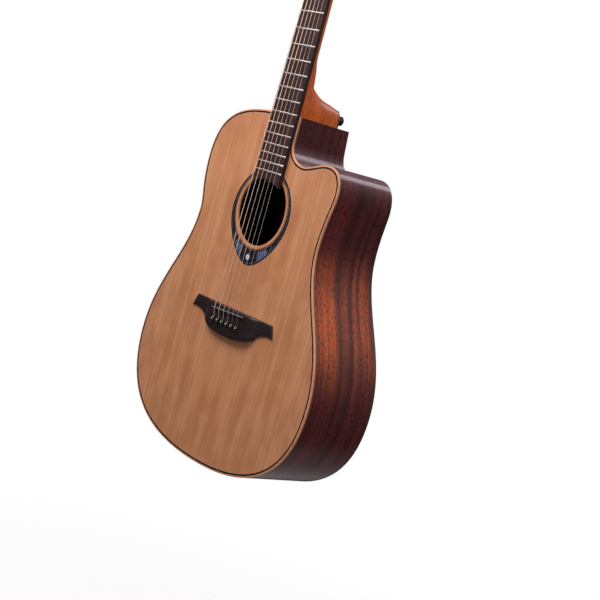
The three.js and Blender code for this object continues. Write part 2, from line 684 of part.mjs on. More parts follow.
function tunerPost({ x, z }) {
  const { radius, front, wheelRadius, wheelThick } = POST;
  const [low, high] = [wormY - wheelThick / 2, wormY + wheelThick / 2];
  const profile = [
    [0, front], [radius, front], [radius, low],
    [wheelRadius, low], [wheelRadius, high], [0, high],
  ];
  return turned(profile, alongY, [x, 0, z], 10);
}

function tunerKnob({ x, z, side: sideSign }) {
  const { reach, length, halfWidth, halfThick } = KNOB;
  const outside = TUNER.boxHalf + GAP;
  const profile = [
    [0, -5.5], [WORM.radius, -5.5], [WORM.radius, 5.5], [WORM.shaft, 5.5],
    [WORM.shaft, outside], [3.4, outside], [3.4, reach + 1], [0, reach + 1],
  ];
  const shaft = turned(profile, alongX, [0, 0, 0], 8);
  const button = new THREE.SphereGeometry(1, 10, 6);
  button.scale(length / 2, halfThick, halfWidth);
  button.translate(reach + length / 2, 0, 0);
  const whole = join(shaft, toSolid(button));
  return (sideSign > 0 ? whole : whole.mirror([1, 0, 0])).translate([x, wormY, z + WORM.offset]);
}

// ---- Assembly ----------------------------------------------------------------------------------

const guitar = new THREE.Group();
const body = new THREE.Group();
body.position.set(0, -TAIL_DEPTH / 2, BUTTON.height);
guitar.add(body);

const headstock = new THREE.Group();
headstock.applyMatrix4(headFrame);
body.add(headstock);

function addPiece(group, name, solid, [color, roughness, metalness]) {
  const material = new THREE.MeshStandardMaterial({ color, roughness, metalness });
  const mesh = new THREE.Mesh(toGeometry(solid), material);
  mesh.name = name;
  group.add(mesh);
}

addPiece(body, 'soundboard', soundboard(), COLOURS.cedar);
addPiece(body, 'back_plate', backPlate(), COLOURS.mahogany);
addPiece(body, 'side_bass', side(-230, -GAP / 2), COLOURS.mahogany);
addPiece(body, 'side_treble', side(GAP / 2, 230), COLOURS.mahogany);
addPiece(body, 'binding_top', topBinding(), COLOURS.paleWood);
addPiece(body, 'binding_back', backBinding(), COLOURS.black);
addPiece(body, 'lining_top', topLining(), COLOURS.spruce);
addPiece(body, 'lining_back', backLining(), COLOURS.spruce);
addPiece(body, 'neck_block', neckBlock(), COLOURS.spruce);
addPiece(body, 'tail_block', tailBlock(), COLOURS.spruce);
addPiece(body, 'rosette', rosette(), COLOURS.black);

addPiece(body, 'x_brace', xBrace(), COLOURS.spruce);
addPiece(body, 'upper_brace', upperBrace(), COLOURS.spruce);
addPiece(body, 'tone_bar_upper', topBrace(...TONE_BARS.upper, 7, 10), COLOURS.spruce);
addPiece(body, 'tone_bar_lower', topBrace(...TONE_BARS.lower, 7, 10), COLOURS.spruce);
addPiece(body, 'bridge_plate', bridgePlate(), COLOURS.rosewood);
BACK_BRACES.forEach((brace, index) => {
  addPiece(body, `back_brace_${index + 1}`, backBrace(brace), COLOURS.spruce);
});

addPiece(body, 'neck', neck(), COLOURS.neckWood);
addPiece(body, 'heel_cap', heelCap(), COLOURS.black);
addPiece(body, 'fretboard', fretboard(), COLOURS.rosewood);
addPiece(body, 'nut', nut(), COLOURS.bone);
addPiece(body, 'truss_rod', trussRod(), COLOURS.steel);
addPiece(headstock, 'head_veneer', headVeneer(), COLOURS.rosewood);

addPiece(body, 'bridge', bridge(), COLOURS.rosewood);
addPiece(body, 'saddle', saddle(), COLOURS.bone);
addPiece(body, 'end_button', strapButton(downZ, [0, TAIL_DEPTH / 2, 0]), COLOURS.black);
addPiece(
  body, 'heel_button', strapButton(alongY, [0, HEEL_DEPTH + HEEL_CAP, HEEL_BUTTON_Z]), COLOURS.black,
);

for (const post of posts) {
  const { number } = post;
  addPiece(body, `bridge_pin_${number}`, bridgePin(number), COLOURS.black);
  addPiece(body, `string_${number}`, guitarString(number), number > 2 ? COLOURS.bronze : COLOURS.steel);
  addPiece(headstock, `tuner_${number}_housing`, tunerHousing(post), COLOURS.chrome);
  addPiece(headstock, `tuner_${number}_post`, tunerPost(post), COLOURS.chrome);
  addPiece(headstock, `tuner_${number}_knob`, tunerKnob(post), COLOURS.chrome);
}

export default guitar;
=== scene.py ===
"""The looks of a steel-string acoustic guitar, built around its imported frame.

Sizes are millimetres on the guitar's own axes: x towards the treble side, y from the
soundboard's face towards the back, and z from the tail up the neck.
"""

import logging
import math
from collections.abc import Sequence
from dataclasses import dataclass, field
from enum import Enum

import bmesh
import bpy
import numpy as np
from mathutils import Matrix, Vector


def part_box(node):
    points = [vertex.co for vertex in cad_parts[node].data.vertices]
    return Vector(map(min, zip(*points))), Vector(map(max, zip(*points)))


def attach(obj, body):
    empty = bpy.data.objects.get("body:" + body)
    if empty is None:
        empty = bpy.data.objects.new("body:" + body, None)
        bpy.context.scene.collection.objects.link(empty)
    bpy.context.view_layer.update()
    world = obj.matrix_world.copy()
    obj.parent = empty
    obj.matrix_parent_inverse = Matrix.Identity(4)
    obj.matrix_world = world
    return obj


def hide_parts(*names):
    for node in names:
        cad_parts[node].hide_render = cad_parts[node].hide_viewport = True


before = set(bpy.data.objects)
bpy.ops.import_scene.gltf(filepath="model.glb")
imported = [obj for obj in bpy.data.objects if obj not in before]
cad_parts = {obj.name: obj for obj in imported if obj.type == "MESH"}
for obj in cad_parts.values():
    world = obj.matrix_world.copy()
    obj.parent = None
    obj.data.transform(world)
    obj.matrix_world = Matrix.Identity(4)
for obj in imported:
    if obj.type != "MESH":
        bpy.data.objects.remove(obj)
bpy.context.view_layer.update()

log = logging.getLogger("guitar")

MM = 0.001
TAU = 2 * math.pi
WELD = 1e-7  # Corners closer than this become one, in metres.
FACE_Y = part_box("soundboard")[0].y  # The soundboard's face, in metres.
TAIL_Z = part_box("binding_top")[0].z  # The tail's end, in metres.
HEAD_TILT = math.radians(13)  # How far the headstock leans back.
HEAD_PIVOT = 881.0  # Where it starts to lean.
HEAD_FOOT = (29.4, 32)  # Where its straight side starts: half width, and height from the pivot.
HEAD_SHOULDER = (36.5, 176)  # Where its straight side ends.
STRING_RADII = (0.15, 0.2, 0.3, 0.4, 0.53, 0.67)  # From the thinnest string to the thickest.
GRAIN_MAP = "grain"

Array = np.ndarray
Point = tuple[float, float]
Point3 = tuple[float, float, float]
Colour = tuple[float, float, float]
Corner = tuple[Array | float, Array | float, Array | float]
Ramp = Sequence[tuple[float, Colour]]


# ---- Lines -------------------------------------------------------------------------------------


def bezier(controls: Sequence[Point], steps: int = 240) -> Array:
    """Samples a cubic curve as the Bernstein sum of its four controls.

    Args:
        controls: The four control points.
        steps: How many samples, with the far end left out.

    Returns:
        An array of steps points.
    """
    t = np.linspace(0, 1, steps, endpoint=False)[:, None]
    a, b, c, d = np.asarray(controls, float)
    return (1 - t) ** 3 * a + 3 * t * (1 - t) ** 2 * b + 3 * t**2 * (1 - t) * c + t**3 * d


def straight(start: Point, end: Point, steps: int = 60) -> Array:
    """Samples a straight line, with its far end left out."""
    return np.linspace(start, end, steps, endpoint=False)


def smooth_line(knots: Sequence[Sequence[float]], steps: int = 24) -> Array:
    """Samples a Catmull-Rom curve, which runs through each knot along its neighbours' chord.

    Args:
        knots: The points it runs through.
        steps: Samples on each span.

    Returns:
        The samples, with both ends.
    """
    p = np.asarray(knots, float)
    p = np.vstack([2 * p[0] - p[1], p, 2 * p[-1] - p[-2]])
    t = np.linspace(0, 1, steps, endpoint=False)[None, :, None]
    a, b, c, d = (p[i : len(p) - 3 + i][:, None, :] for i in range(4))
    spans = 0.5 * (2 * b + (c - a) * t + (2 * a - 5 * b + 4 * c - d) * t**2
                   + (3 * b - a - 3 * c + d) * t**3)
    return np.vstack([spans.reshape(-1, p.shape[1]), p[-2:-1]])


def lengths(path: Array) -> Array:
    """Gives how far along the path each of its points is."""
    return np.concatenate([[0], np.cumsum(np.linalg.norm(np.diff(path, axis=0), axis=1))])


def along(path: Array, places: Array) -> Array:
    """Gives the path's points at the given distances along it."""
    run = lengths(path)
    return np.stack([np.interp(places, run, path[:, k]) for k in range(path.shape[1])], axis=-1)


def inset(loop: Array, depth: float) -> Array:
    """Moves a closed loop inwards along its mitred normals.

    Args:
        loop: Points running anticlockwise.
        depth: How far, in millimetres.

    Returns:
        A loop of as many points.
    """
    step = np.roll(loop, -1, axis=0) - loop
    step /= np.linalg.norm(step, axis=1, keepdims=True)
    left = np.stack([-step[:, 1], step[:, 0]], axis=1)
    both = left + np.roll(left, 1, axis=0)
    both /= np.linalg.norm(both, axis=1, keepdims=True)
    mitre = np.clip((both * left).sum(axis=1, keepdims=True), 0.6, 1)
    return loop + depth * both / mitre


def ease(values: Array | float, low: float, high: float) -> Array:
    """Rises from 0 at low to 1 at high as 3t^2 - 2t^3."""
    t = np.clip((np.asarray(values, float) - low) / (high - low), 0, 1)
    return t * t * (3 - 2 * t)


def lift(loop: Array, depth: Array | float) -> Array:
    """Lays a flat loop of (x, z) at the given depth y."""
    return np.stack([loop[:, 0], np.broadcast_to(depth, loop.shape[:1]), loop[:, 1]], axis=-1)


def tilt(points: Array) -> Array:
    """Turns points of the headstock's own axes back about the foot of the headstock.

    Args:
        points: Sizes with z up the headstock from its foot and y towards its back.

    Returns:
        The points on the guitar's axes: turned by HEAD_TILT about x, then raised to HEAD_PIVOT.
    """
    x, y, z = np.moveaxis(np.asarray(points, float), -1, 0)
    cos, sin = math.cos(HEAD_TILT), math.sin(HEAD_TILT)
    return np.stack([x, cos * y + sin * z, HEAD_PIVOT - sin * y + cos * z], axis=-1)


# ---- Meshes ------------------------------------------------------------------------------------


class Turn(Enum):
    """Which way a turned piece points: the two axes that its rings lie in, then its own axis."""

    BACK = ((1, 0, 0), (0, 0, 1), (0, 1, 0))
    TREBLE = ((0, 1, 0), (0, 0, 1), (1, 0, 0))
    DOWN = ((1, 0, 0), (0, 1, 0), (0, 0, -1))


def turned(profile: Sequence[Point], centre: Point3, turn: Turn, sides: int = 32,
           flats: int = 0) -> Array:
    """Turns a profile of (radius, height) into rings round an axis.

    Args:
        profile: Radii and heights, from one end to the other; a zero radius closes an end.
        centre: Where height 0 of the axis is.
        turn: Which way the axis points.
        sides: Points on each ring.
        flats: Makes the rings regular polygons of this many flats, as on a nut, if not 0.

    Returns:
        A grid of points: centre + radius * (cos a * u + sin a * v) + height * w.
    """
    rings = np.asarray(profile, float)
    angle = np.linspace(0, TAU, sides, endpoint=False)
    u, v, w = np.asarray(turn.value, float)
    round_part = np.cos(angle)[:, None] * u + np.sin(angle)[:, None] * v
    if flats:
        wedge = TAU / flats
        round_part = round_part / np.cos((angle % wedge) - wedge / 2)[:, None]
    return np.asarray(centre) + rings[:, 0, None, None] * round_part + rings[:, 1, None, None] * w


def tube(path: Array, radius: float, side: Point3, sides: int = 10) -> Array:
    """Carries a circle along a path, with a pole at each end.

    Args:
        path: The points of its middle line.
        radius: The tube's radius.
        side: A direction that the path never runs along, which fixes how the rings turn.
        sides: Points on each ring.

    Returns:
        A grid of points: path + radius * (cos a * b + sin a * n), where b is side squared to the
        path and n is the path's direction crossed with b.
    """
    heading = np.gradient(path, axis=0)
    heading /= np.linalg.norm(heading, axis=1, keepdims=True)
    b = np.asarray(side, float) - (heading @ np.asarray(side, float))[:, None] * heading
    b /= np.linalg.norm(b, axis=1, keepdims=True)
    n = np.cross(heading, b)
    angle = np.linspace(0, TAU, sides, endpoint=False)[None, :, None]
    rings = path[:, None] + radius * (np.cos(angle) * b[:, None] + np.sin(angle) * n[:, None])
    poles = [np.broadcast_to(path[k], rings[:1].shape) for k in (0, -1)]
    return np.concatenate([poles[0], rings, poles[1]])


def pebble(centre: Point3, half: Point3, squareness: float, rows: int = 20, sides: int = 40) -> Array:
    """Makes a superellipsoid, a box with every edge rounded.

    Args:
        centre: Its middle.
        half: Its half sizes.
        squareness: 2 gives an ellipsoid, and more gives a squarer box.
        rows: Rings from pole to pole.
        sides: Points on each ring.

    Returns:
        A grid of points where |x/a|^k + |y/b|^k + |z/c|^k = 1, with its poles on z.
    """
    def power(value: Array) -> Array:
        """Raises a sine or cosine to 2 / squareness and keeps its sign."""
        return np.sign(value) * np.abs(value) ** (2 / squareness)

    v = np.linspace(-math.pi / 2, math.pi / 2, rows)[:, None]
    u = np.linspace(0, TAU, sides, endpoint=False)[None]
    ring = np.abs(np.cos(v)) ** (2 / squareness)
    ring[[0, -1]] = 0
    x, y, z = ring * power(np.cos(u)), ring * power(np.sin(u)), power(np.sin(v)) + 0 * u
    return np.stack([x, y, z], axis=-1) * half + centre


def sections(*corners: Corner) -> Array:
    """Stacks corners into the cross-sections of a bar.

    Args:
        corners: Each corner's x, y and z, of which those that change along the bar are arrays.

    Returns:
        A grid of points by station and corner.
    """
    return np.stack([np.stack(np.broadcast_arrays(*corner), axis=-1) for corner in corners], axis=1)


@dataclass
class Shell:
    """Closed surfaces that together make one piece, gathered in millimetres.

    Attributes:
        points: The corner places of each surface.
        quads: The corner numbers of each surface's faces.
        maps: The grain map's places at each surface's face corners, in metres.
    """

    points: list[Array] = field(default_factory=list)
    quads: list[Array] = field(default_factory=list)
    maps: list[Array] = field(default_factory=list)

    def add(self, grid: Array, wrap_rows: bool = False, wrap_cols: bool = True,
            run: Array | None = None, rise: Array | None = None) -> "Shell":
        """Adds a grid of points, whose face (r, c) joins corners r, c to r + 1, c + 1.

        Args:
            grid: Points by row and column.
            wrap_rows: Joins the last row to the first.
            wrap_cols: Joins the last column to the first.
            run: The grain map's first number at each column, with one more where columns wrap.
            rise: The grain map's second number at each point.

        Returns:
            The shell itself.
        """
        rows, cols = grid.shape[:2]
        r, c = np.mgrid[0 : rows - 1 + wrap_rows, 0 : cols - 1 + wrap_cols]
        corners = [(r, c), (r, c + 1), (r + 1, c + 1), (r + 1, c)]
        start = sum(len(p) for p in self.points)
        self.points.append(grid.reshape(-1, 3))
        numbers = [(a % rows) * cols + b % cols for a, b in corners]
        self.quads.append(np.stack(numbers, axis=-1).reshape(-1, 4) + start)
        if run is None:
            run = np.arange(cols + 1.0)
        if rise is None:
            rise = np.broadcast_to(np.arange(rows)[:, None], (rows, cols))
        places = [np.stack([run[b], rise[a % rows, b % cols]], axis=-1) for a, b in corners]
        self.maps.append(np.stack(places, axis=2).reshape(-1, 2) * MM)
        return self

    def ring(self, loops: Sequence[Array], run: Array | None = None) -> "Shell":
        """Adds a closed ring whose section runs through the loops in turn, mapped by length and depth."""
        grid = np.stack(loops)
        return self.add(grid, wrap_rows=True, run=run, rise=grid[..., 1])

    def bar(self, grid: Array) -> "Shell":
        """Adds a bar of closed sections, with each end drawn in to its middle."""
        ends = [np.broadcast_to(grid[k].mean(axis=0), grid[:1].shape) for k in (0, -1)]
        return self.add(np.concatenate([ends[0], grid, ends[1]]))

    def make(self, name: str, finish: "Finish", body: str = "root", replaces: Sequence[str] = (),
             sharp: float = 35) -> bpy.types.Object:
        """Turns the surfaces into one object with its seams closed and its faces outwards.

        Args:
            name: The object's name.
            finish: What it is made of.
            body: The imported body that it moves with.
            replaces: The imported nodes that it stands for.
            sharp: Edges that turn by more degrees than this stay crisp.

        Returns:
            The object, in the scene.
        """
        mesh = bpy.data.meshes.new(name)
        points = np.concatenate(self.points) * MM + (0, FACE_Y, TAIL_Z)
        mesh.from_pydata(points.tolist(), [], np.concatenate(self.quads).tolist())
        layer = mesh.uv_layers.new(name=GRAIN_MAP)
        layer.data.foreach_set("uv", np.concatenate(self.maps).ravel())
        work = bmesh.new()
        work.from_mesh(mesh)
        bmesh.ops.remove_doubles(work, verts=work.verts, dist=WELD)
        bmesh.ops.recalc_face_normals(work, faces=work.faces)
        work.to_mesh(mesh)
        work.free()
        mesh.shade_smooth()
        mesh.set_sharp_from_angle(angle=math.radians(sharp))
        mesh.materials.append(finish.material())
        piece = bpy.data.objects.new(name, mesh)
        bpy.context.scene.collection.objects.link(piece)
        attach(piece, body)
        if replaces:
            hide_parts(*replaces)
        log.info("%s: %d faces, %s", name, len(mesh.polygons), finish.name)
        return piece


# ---- Finishes ----------------------------------------------------------------------------------


class Nodes:
    """A short way to write a material's node tree."""

    def __init__(self, tree: bpy.types.NodeTree) -> None:
        """Starts from an empty tree."""
        self.tree = tree
        tree.nodes.clear()

    def add(self, kind: str, *values: object, **settings: object) -> bpy.types.Node:
        """Adds a node.

        Args:
            kind: The node type's name without ShaderNode.
            values: What goes into its sockets in order; None leaves one as it is.
            settings: Attributes of the node.

        Returns:
            The node.
        """
        node = self.tree.nodes.new("ShaderNode" + kind)
        for key, value in settings.items():
            setattr(node, key, value)
        for socket, value in zip(node.inputs, values):
            self.feed(socket, value)
        return node

    def feed(self, socket: bpy.types.NodeSocket, value: object) -> None:
        """Links a socket to an output or sets its value.

        Args:
            socket: The input to fill.
            value: An output, a plain value, or None to leave the input as it is.
        """
        if isinstance(value, bpy.types.NodeSocket):
            self.tree.links.new(value, socket)
        elif value is not None:
            socket.default_value = value

    def maths(self, operation: str, *values: object) -> bpy.types.NodeSocket:
        """Gives the result of a Math node."""
        return self.add("Math", *values, operation=operation).outputs[0]

    def noise(self, place: object, stretch: Point3, detail: float = 2, rough: float = 0.5,
              warp: float = 0) -> bpy.types.NodeSocket:
        """Gives noise on a place stretched by so many waves a metre on each axis.

        Args:
            place: Where the noise is read.
            stretch: Waves a metre on each axis.
            detail: Finer layers added to it.
            rough: How strong each finer layer is.
            warp: How far the noise bends itself.

        Returns:
            The noise, from 0 to 1.
        """
        moved = self.add("VectorMath", place, stretch, operation="MULTIPLY").outputs[0]
        node = self.add("TexNoise")
        self.feed(node.inputs["Vector"], moved)
        node.inputs["Scale"].default_value = 1
        node.inputs["Detail"].default_value = detail
        node.inputs["Roughness"].default_value = rough
        node.inputs["Distortion"].default_value = warp
        return node.outputs[0]

    def span(self, value: object, low: float, high: float, out_low: float = 0,
             out_high: float = 1) -> bpy.types.NodeSocket:
        """Maps a value from one range to another with soft ends.

        Args:
            value: What is mapped.
            low: Where its range starts.
            high: Where its range ends.
            out_low: What low becomes.
            out_high: What high becomes.

        Returns:
            The mapped value.
        """
        node = self.add("MapRange", value, low, high, out_low, out_high)
        node.interpolation_type = "SMOOTHSTEP"
        return node.outputs[0]

    def ramp(self, value: object, stops: Ramp) -> bpy.types.NodeSocket:
        """Gives the colour of a ramp at a value.

        Args:
            value: The place on the ramp, from 0 to 1.
            stops: Places and their colours.

        Returns:
            The colour.
        """
        node = self.add("ValToRGB", value)
        band = node.color_ramp.elements
        while len(band) < len(stops):
            band.new(0.5)
        for element, (place, colour) in zip(band, stops):
            element.position = place
            element.color = (*colour, 1)
        return node.outputs[0]

    def blend(self, share: object, first: object, second: object,
              mode: str = "MIX") -> bpy.types.NodeSocket:
        """Gives a mix of two colours.

        Args:
            share: How much of the second one.
            first: The first colour.
            second: The second colour.
            mode: How the second is laid over the first.

        Returns:
            The mixed colour.
        """
        node = self.add("Mix", data_type="RGBA", blend_type=mode)
        colours = [(*c, 1) if isinstance(c, tuple) else c for c in (first, second)]
        for index, value in zip((0, 6, 7), (share, *colours)):
            self.feed(node.inputs[index], value)
        return node.outputs[2]

    def principled(self, colour: object, rough: object, bump: object = None, height: float = 0,
                   **fixed: float) -> None:
        """Ends the tree in one surface shader.

        Args:
            colour: The base colour.
            rough: The roughness.
            bump: The height that the bump follows, from 0 to 1.
            height: The bump's full height in metres.
            fixed: Values set on the shader's own sockets, with spaces written as underscores.
        """
        shader = self.add("BsdfPrincipled")
        self.feed(shader.inputs["Base Color"], (*colour, 1) if isinstance(colour, tuple) else colour)
        self.feed(shader.inputs["Roughness"], rough)
        for key, value in fixed.items():
            shader.inputs[key.replace("_", " ")].default_value = value
        if bump is not None:
            node = self.add("Bump")
            node.inputs["Distance"].default_value = height
            self.feed(node.inputs["Height"], bump)
            self.feed(shader.inputs["Normal"], node.outputs[0])
        self.add("OutputMaterial", shader.outputs[0])


@dataclass(frozen=True)
class Finish:
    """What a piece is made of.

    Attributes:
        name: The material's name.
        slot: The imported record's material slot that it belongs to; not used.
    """

    name: str
    slot: str

    def material(self) -> bpy.types.Material:
        """Gives the material, made the first time that it is asked for.

        Returns:
            The material, the same one each time.
        """
        found = bpy.data.materials.get(self.name)
        if found is None:
            found = bpy.data.materials.new(self.name)
            found.use_nodes = True
            self.draw(Nodes(found.node_tree))
        return found

    def draw(self, nodes: Nodes) -> None:
        """Fills the material's tree, nodes."""
        raise NotImplementedError


class GrainRun(Enum):
    """Which way the grain of a wood runs."""

    UP = "along z"
    ACROSS = "along x"
    MAPPED = "along the grain map"


@dataclass(frozen=True)
class Wood(Finish):
    """Planed and lacquered wood with growth lines, broad bands, ribbon figure and open pores.

    Attributes:
        light: Its colour between the lines.
        dark: Its colour in the lines and on the ribbon's dark side.
        deep: The colour of the broad bands.
        run: Which way the grain runs.
        lines: Growth lines a metre.
        line_share: How strongly they show.
        bands: Broad bands a metre.
        band_share: How strongly they show.
        pores: How strongly the pores show.
        rough: The wood's roughness.
        coat: The lacquer's weight.
        coat_rough: The lacquer's roughness.
        glint: The wood's specular level.
        relief: The bump's height in metres.
        matched: Mirrors the grain on the middle line.
        glow: Lightens the wood between these two heights above the tail, if they differ: a painted highlight.
        painted_light_colour: The colour that it lightens to.
    """

    light: Colour = (0.6, 0.4, 0.2)
    dark: Colour = (0.4, 0.2, 0.1)
    deep: Colour = (0.3, 0.15, 0.08)
    run: GrainRun = GrainRun.UP
    lines: float = 600
    line_share: float = 0.5
    bands: float = 80
    band_share: float = 0.4
    pores: float = 0
    rough: float = 0.45
    coat: float = 0.5
    coat_rough: float = 0.2
    glint: float = 0.4
    relief: float = 2e-5
    matched: bool = False
    glow: Point = (0, 0)
    painted_light_colour: Colour = (0.5, 0.3, 0.1)

    def draw(self, nodes: Nodes) -> None:
        """Mixes noise stretched along the grain: thin lines, broad bands, figure, pores, and a painted
        highlight.

        Args:
            nodes: The material's tree.
        """
        place = nodes.add("TexCoord").outputs["Object"]
        x, y, z = nodes.add("SeparateXYZ", place).outputs
        if self.run is GrainRun.MAPPED:
            mapped = nodes.add("SeparateXYZ", nodes.add("UVMap", uv_map=GRAIN_MAP).outputs[0])
            place = nodes.add("CombineXYZ", mapped.outputs[1], 0.0, mapped.outputs[0]).outputs[0]
        elif self.run is GrainRun.ACROSS:
            place = nodes.add("CombineXYZ", z, y, x).outputs[0]
        elif self.matched:
            place = nodes.add("CombineXYZ", nodes.maths("ABSOLUTE", x), y, z).outputs[0]
        # Noise gathers about 0.5, so the limits of each span set how much of the wood it marks.
        fine = nodes.noise(place, (self.lines, self.lines, 3.5), 3, 0.6)
        broad = nodes.noise(place, (self.bands, self.bands * 0.6, 1.3), 2, 0.5, 0.3)
        figure = nodes.noise(place, (self.bands * 0.35, self.bands * 0.35, 16), 2, 0.5, 0.4)
        ribbon = nodes.span(figure, 0.35, 0.7, 0, 0.4 * self.band_share)
        colour = nodes.blend(nodes.span(broad, 0.36, 0.66, 0, self.band_share), self.light, self.deep)
        # Painted highlight: lightens the wood between the glow heights, standing in for the top light falling
        # on the sides.
        if self.glow[0] != self.glow[1]:
            low, high = (TAIL_Z + value * MM for value in self.glow)
            rise = nodes.span(z, low - 0.05, low + 0.06)
            fall = nodes.span(z, high - 0.05, high + 0.05, 1, 0)
            inside = nodes.maths("MULTIPLY", rise, fall)
            patch = nodes.maths("MULTIPLY", inside, nodes.span(broad, 0.34, 0.62, 1, 0.15))
            colour = nodes.blend(patch, colour, self.painted_light_colour)
        colour = nodes.blend(nodes.span(fine, 0.42, 0.68, 0, self.line_share), colour, self.dark)
        colour = nodes.blend(ribbon, colour, self.dark, "MULTIPLY")
        bump = fine
        if self.pores:
            open_pore = nodes.span(nodes.noise(place, (1000, 1000, 130), 1, 0.5), 0.54, 0.66)
            speck = nodes.maths("MULTIPLY", open_pore, self.pores)
            colour = nodes.blend(speck, colour, self.dark, "MULTIPLY")
            bump = nodes.maths("SUBTRACT", fine, speck)
        rough = nodes.span(fine, 0.2, 0.8, self.rough - 0.06, self.rough + 0.08)
        nodes.principled(colour, rough, bump, self.relief, Coat_Weight=self.coat,
                         Coat_Roughness=self.coat_rough, Coat_IOR=1.5, Specular_IOR_Level=self.glint)


@dataclass(frozen=True)
class Plain(Finish):
    """An even material such as plastic, bone, resin or a strip of inlay, with cloudy patches.

    Attributes:
        colour: Its colour.
        mottle: The colour of its cloudy patches.
        patch: Patches a metre.
        rough: Its roughness.
        coat: The polish's weight.
        glint: Its specular level.
        relief: The bump's height in metres.
        under: How far light goes into it.
    """

    colour: Colour = (0.5, 0.5, 0.5)
    mottle: Colour = (0.4, 0.4, 0.4)
    patch: float = 300
    rough: float = 0.3
    coat: float = 0.3
    glint: float = 0.5
    relief: float = 5e-6
    under: float = 0

    def draw(self, nodes: Nodes) -> None:
        """Clouds the colour with soft noise, and roughens it with fine noise.

        Args:
            nodes: The material's tree.
        """
        place = nodes.add("TexCoord").outputs["Object"]
        cloud = nodes.noise(place, (self.patch,) * 3, 4, 0.6)
        grit = nodes.noise(place, (2600,) * 3, 2, 0.5)
        colour = nodes.blend(nodes.span(cloud, 0.35, 0.68), self.colour, self.mottle)
        rough = nodes.span(grit, 0.2, 0.8, self.rough - 0.05, self.rough + 0.07)
        nodes.principled(colour, rough, grit, self.relief, Coat_Weight=self.coat,
                         Coat_Roughness=0.08, Specular_IOR_Level=self.glint,
                         Subsurface_Weight=self.under)


@dataclass(frozen=True)
class Metal(Finish):
    """Plated, brushed or wound metal.

    Attributes:
        colour: Its colour.
        rough: Its roughness.
        smear: Uneven roughness added by handling.
        turns: Windings a metre on the grain map, or 0.
    """

    colour: Colour = (0.8, 0.8, 0.8)
    rough: float = 0.15
    smear: float = 0.1
    turns: float = 0

    def draw(self, nodes: Nodes) -> None:
        """Smears the roughness with cloudy noise, and rounds each winding with a sine wave.

        Args:
            nodes: The material's tree.
        """
        place = nodes.add("TexCoord").outputs["Object"]
        cloud = nodes.noise(place, (160,) * 3, 4, 0.6)
        scratch = nodes.noise(place, (300, 4000, 4000), 2, 0.6)
        rough = nodes.span(cloud, 0.3, 0.75, self.rough, self.rough + self.smear)
        colour = nodes.blend(nodes.span(cloud, 0.3, 0.8, 0, 0.25), self.colour,
                             tuple(0.6 * c for c in self.colour))
        bump, height = scratch, 2e-6
        if self.turns:
            run = nodes.add("SeparateXYZ", nodes.add("UVMap", uv_map=GRAIN_MAP).outputs[0]).outputs[0]
            wave = nodes.maths("SINE", nodes.maths("MULTIPLY", run, TAU * self.turns))
            bump, height = nodes.span(wave, -1, 1), 6e-5
        nodes.principled(colour, rough, bump, height, Metallic=1.0)


CEDAR = Wood("cedar", "cedar_top", (0.66, 0.325, 0.17), (0.48, 0.2, 0.09), (0.58, 0.255, 0.12),
             lines=620, line_share=0.55, bands=75, band_share=0.7, rough=0.5, coat=0.2,
             coat_rough=0.3, glint=0.25, matched=True)
# The sides carry a painted highlight between 185 and 325 mm above the tail, where the top light falls on
# them.
SIDE_MAHOGANY = Wood("striped_mahogany", "mahogany_gloss", (0.15, 0.023, 0.022), (0.035, 0.005, 0.006),
                     (0.055, 0.007, 0.009), GrainRun.MAPPED, lines=330, line_share=0.55, bands=70,
                     band_share=0.85, pores=1, rough=0.4, coat=0.9, coat_rough=0.13, glint=0.15,
                     glow=(185, 325), painted_light_colour=(0.66, 0.125, 0.011))
BACK_MAHOGANY = Wood("matched_mahogany", "mahogany_gloss", (0.26, 0.062, 0.034), (0.07, 0.015, 0.011),
                     (0.1, 0.02, 0.014), lines=330, line_share=0.5, bands=60, band_share=0.85,
                     pores=0.9, rough=0.38, coat=1, coat_rough=0.07, glint=0.3, matched=True)
# The back's inner face: bare, unlacquered mahogany, painted far darker than the back as painted shade inside
# the box.
SHADED_INNER_MAHOGANY = Wood("bare_mahogany_painted_shade", "mahogany_gloss", (0.05, 0.02, 0.014), (0.018, 0.007, 0.005),
                      (0.03, 0.01, 0.007), lines=330, bands=60, pores=0.5, rough=0.8, coat=0, glint=0.1)
NECK_MAHOGANY = Wood("neck_mahogany_satin", "neck_mahogany", (0.82, 0.19, 0.018), (0.45, 0.082, 0.01),
                     (0.6, 0.12, 0.012), lines=380, line_share=0.45, bands=90, band_share=0.5,
                     pores=0.7, rough=0.45, coat=0.5, coat_rough=0.2, glint=0.2)
ROSEWOOD = Wood("dark_rosewood", "ebony", (0.04, 0.019, 0.019), (0.007, 0.005, 0.006),
                (0.1, 0.034, 0.03), lines=500, line_share=0.6, bands=160, band_share=0.6,
                pores=0.6, rough=0.5, coat=0.06, coat_rough=0.35, glint=0.3, relief=3e-5)
BRIDGE_ROSEWOOD = Wood("bridge_rosewood", "ebony", (0.022, 0.014, 0.018), (0.006, 0.004, 0.005),
                       (0.04, 0.02, 0.02), GrainRun.ACROSS, lines=500, line_share=0.6, bands=160,
                       band_share=0.6, pores=0.6, rough=0.45, coat=0.1, coat_rough=0.3, glint=0.35,
                       relief=3e-5)
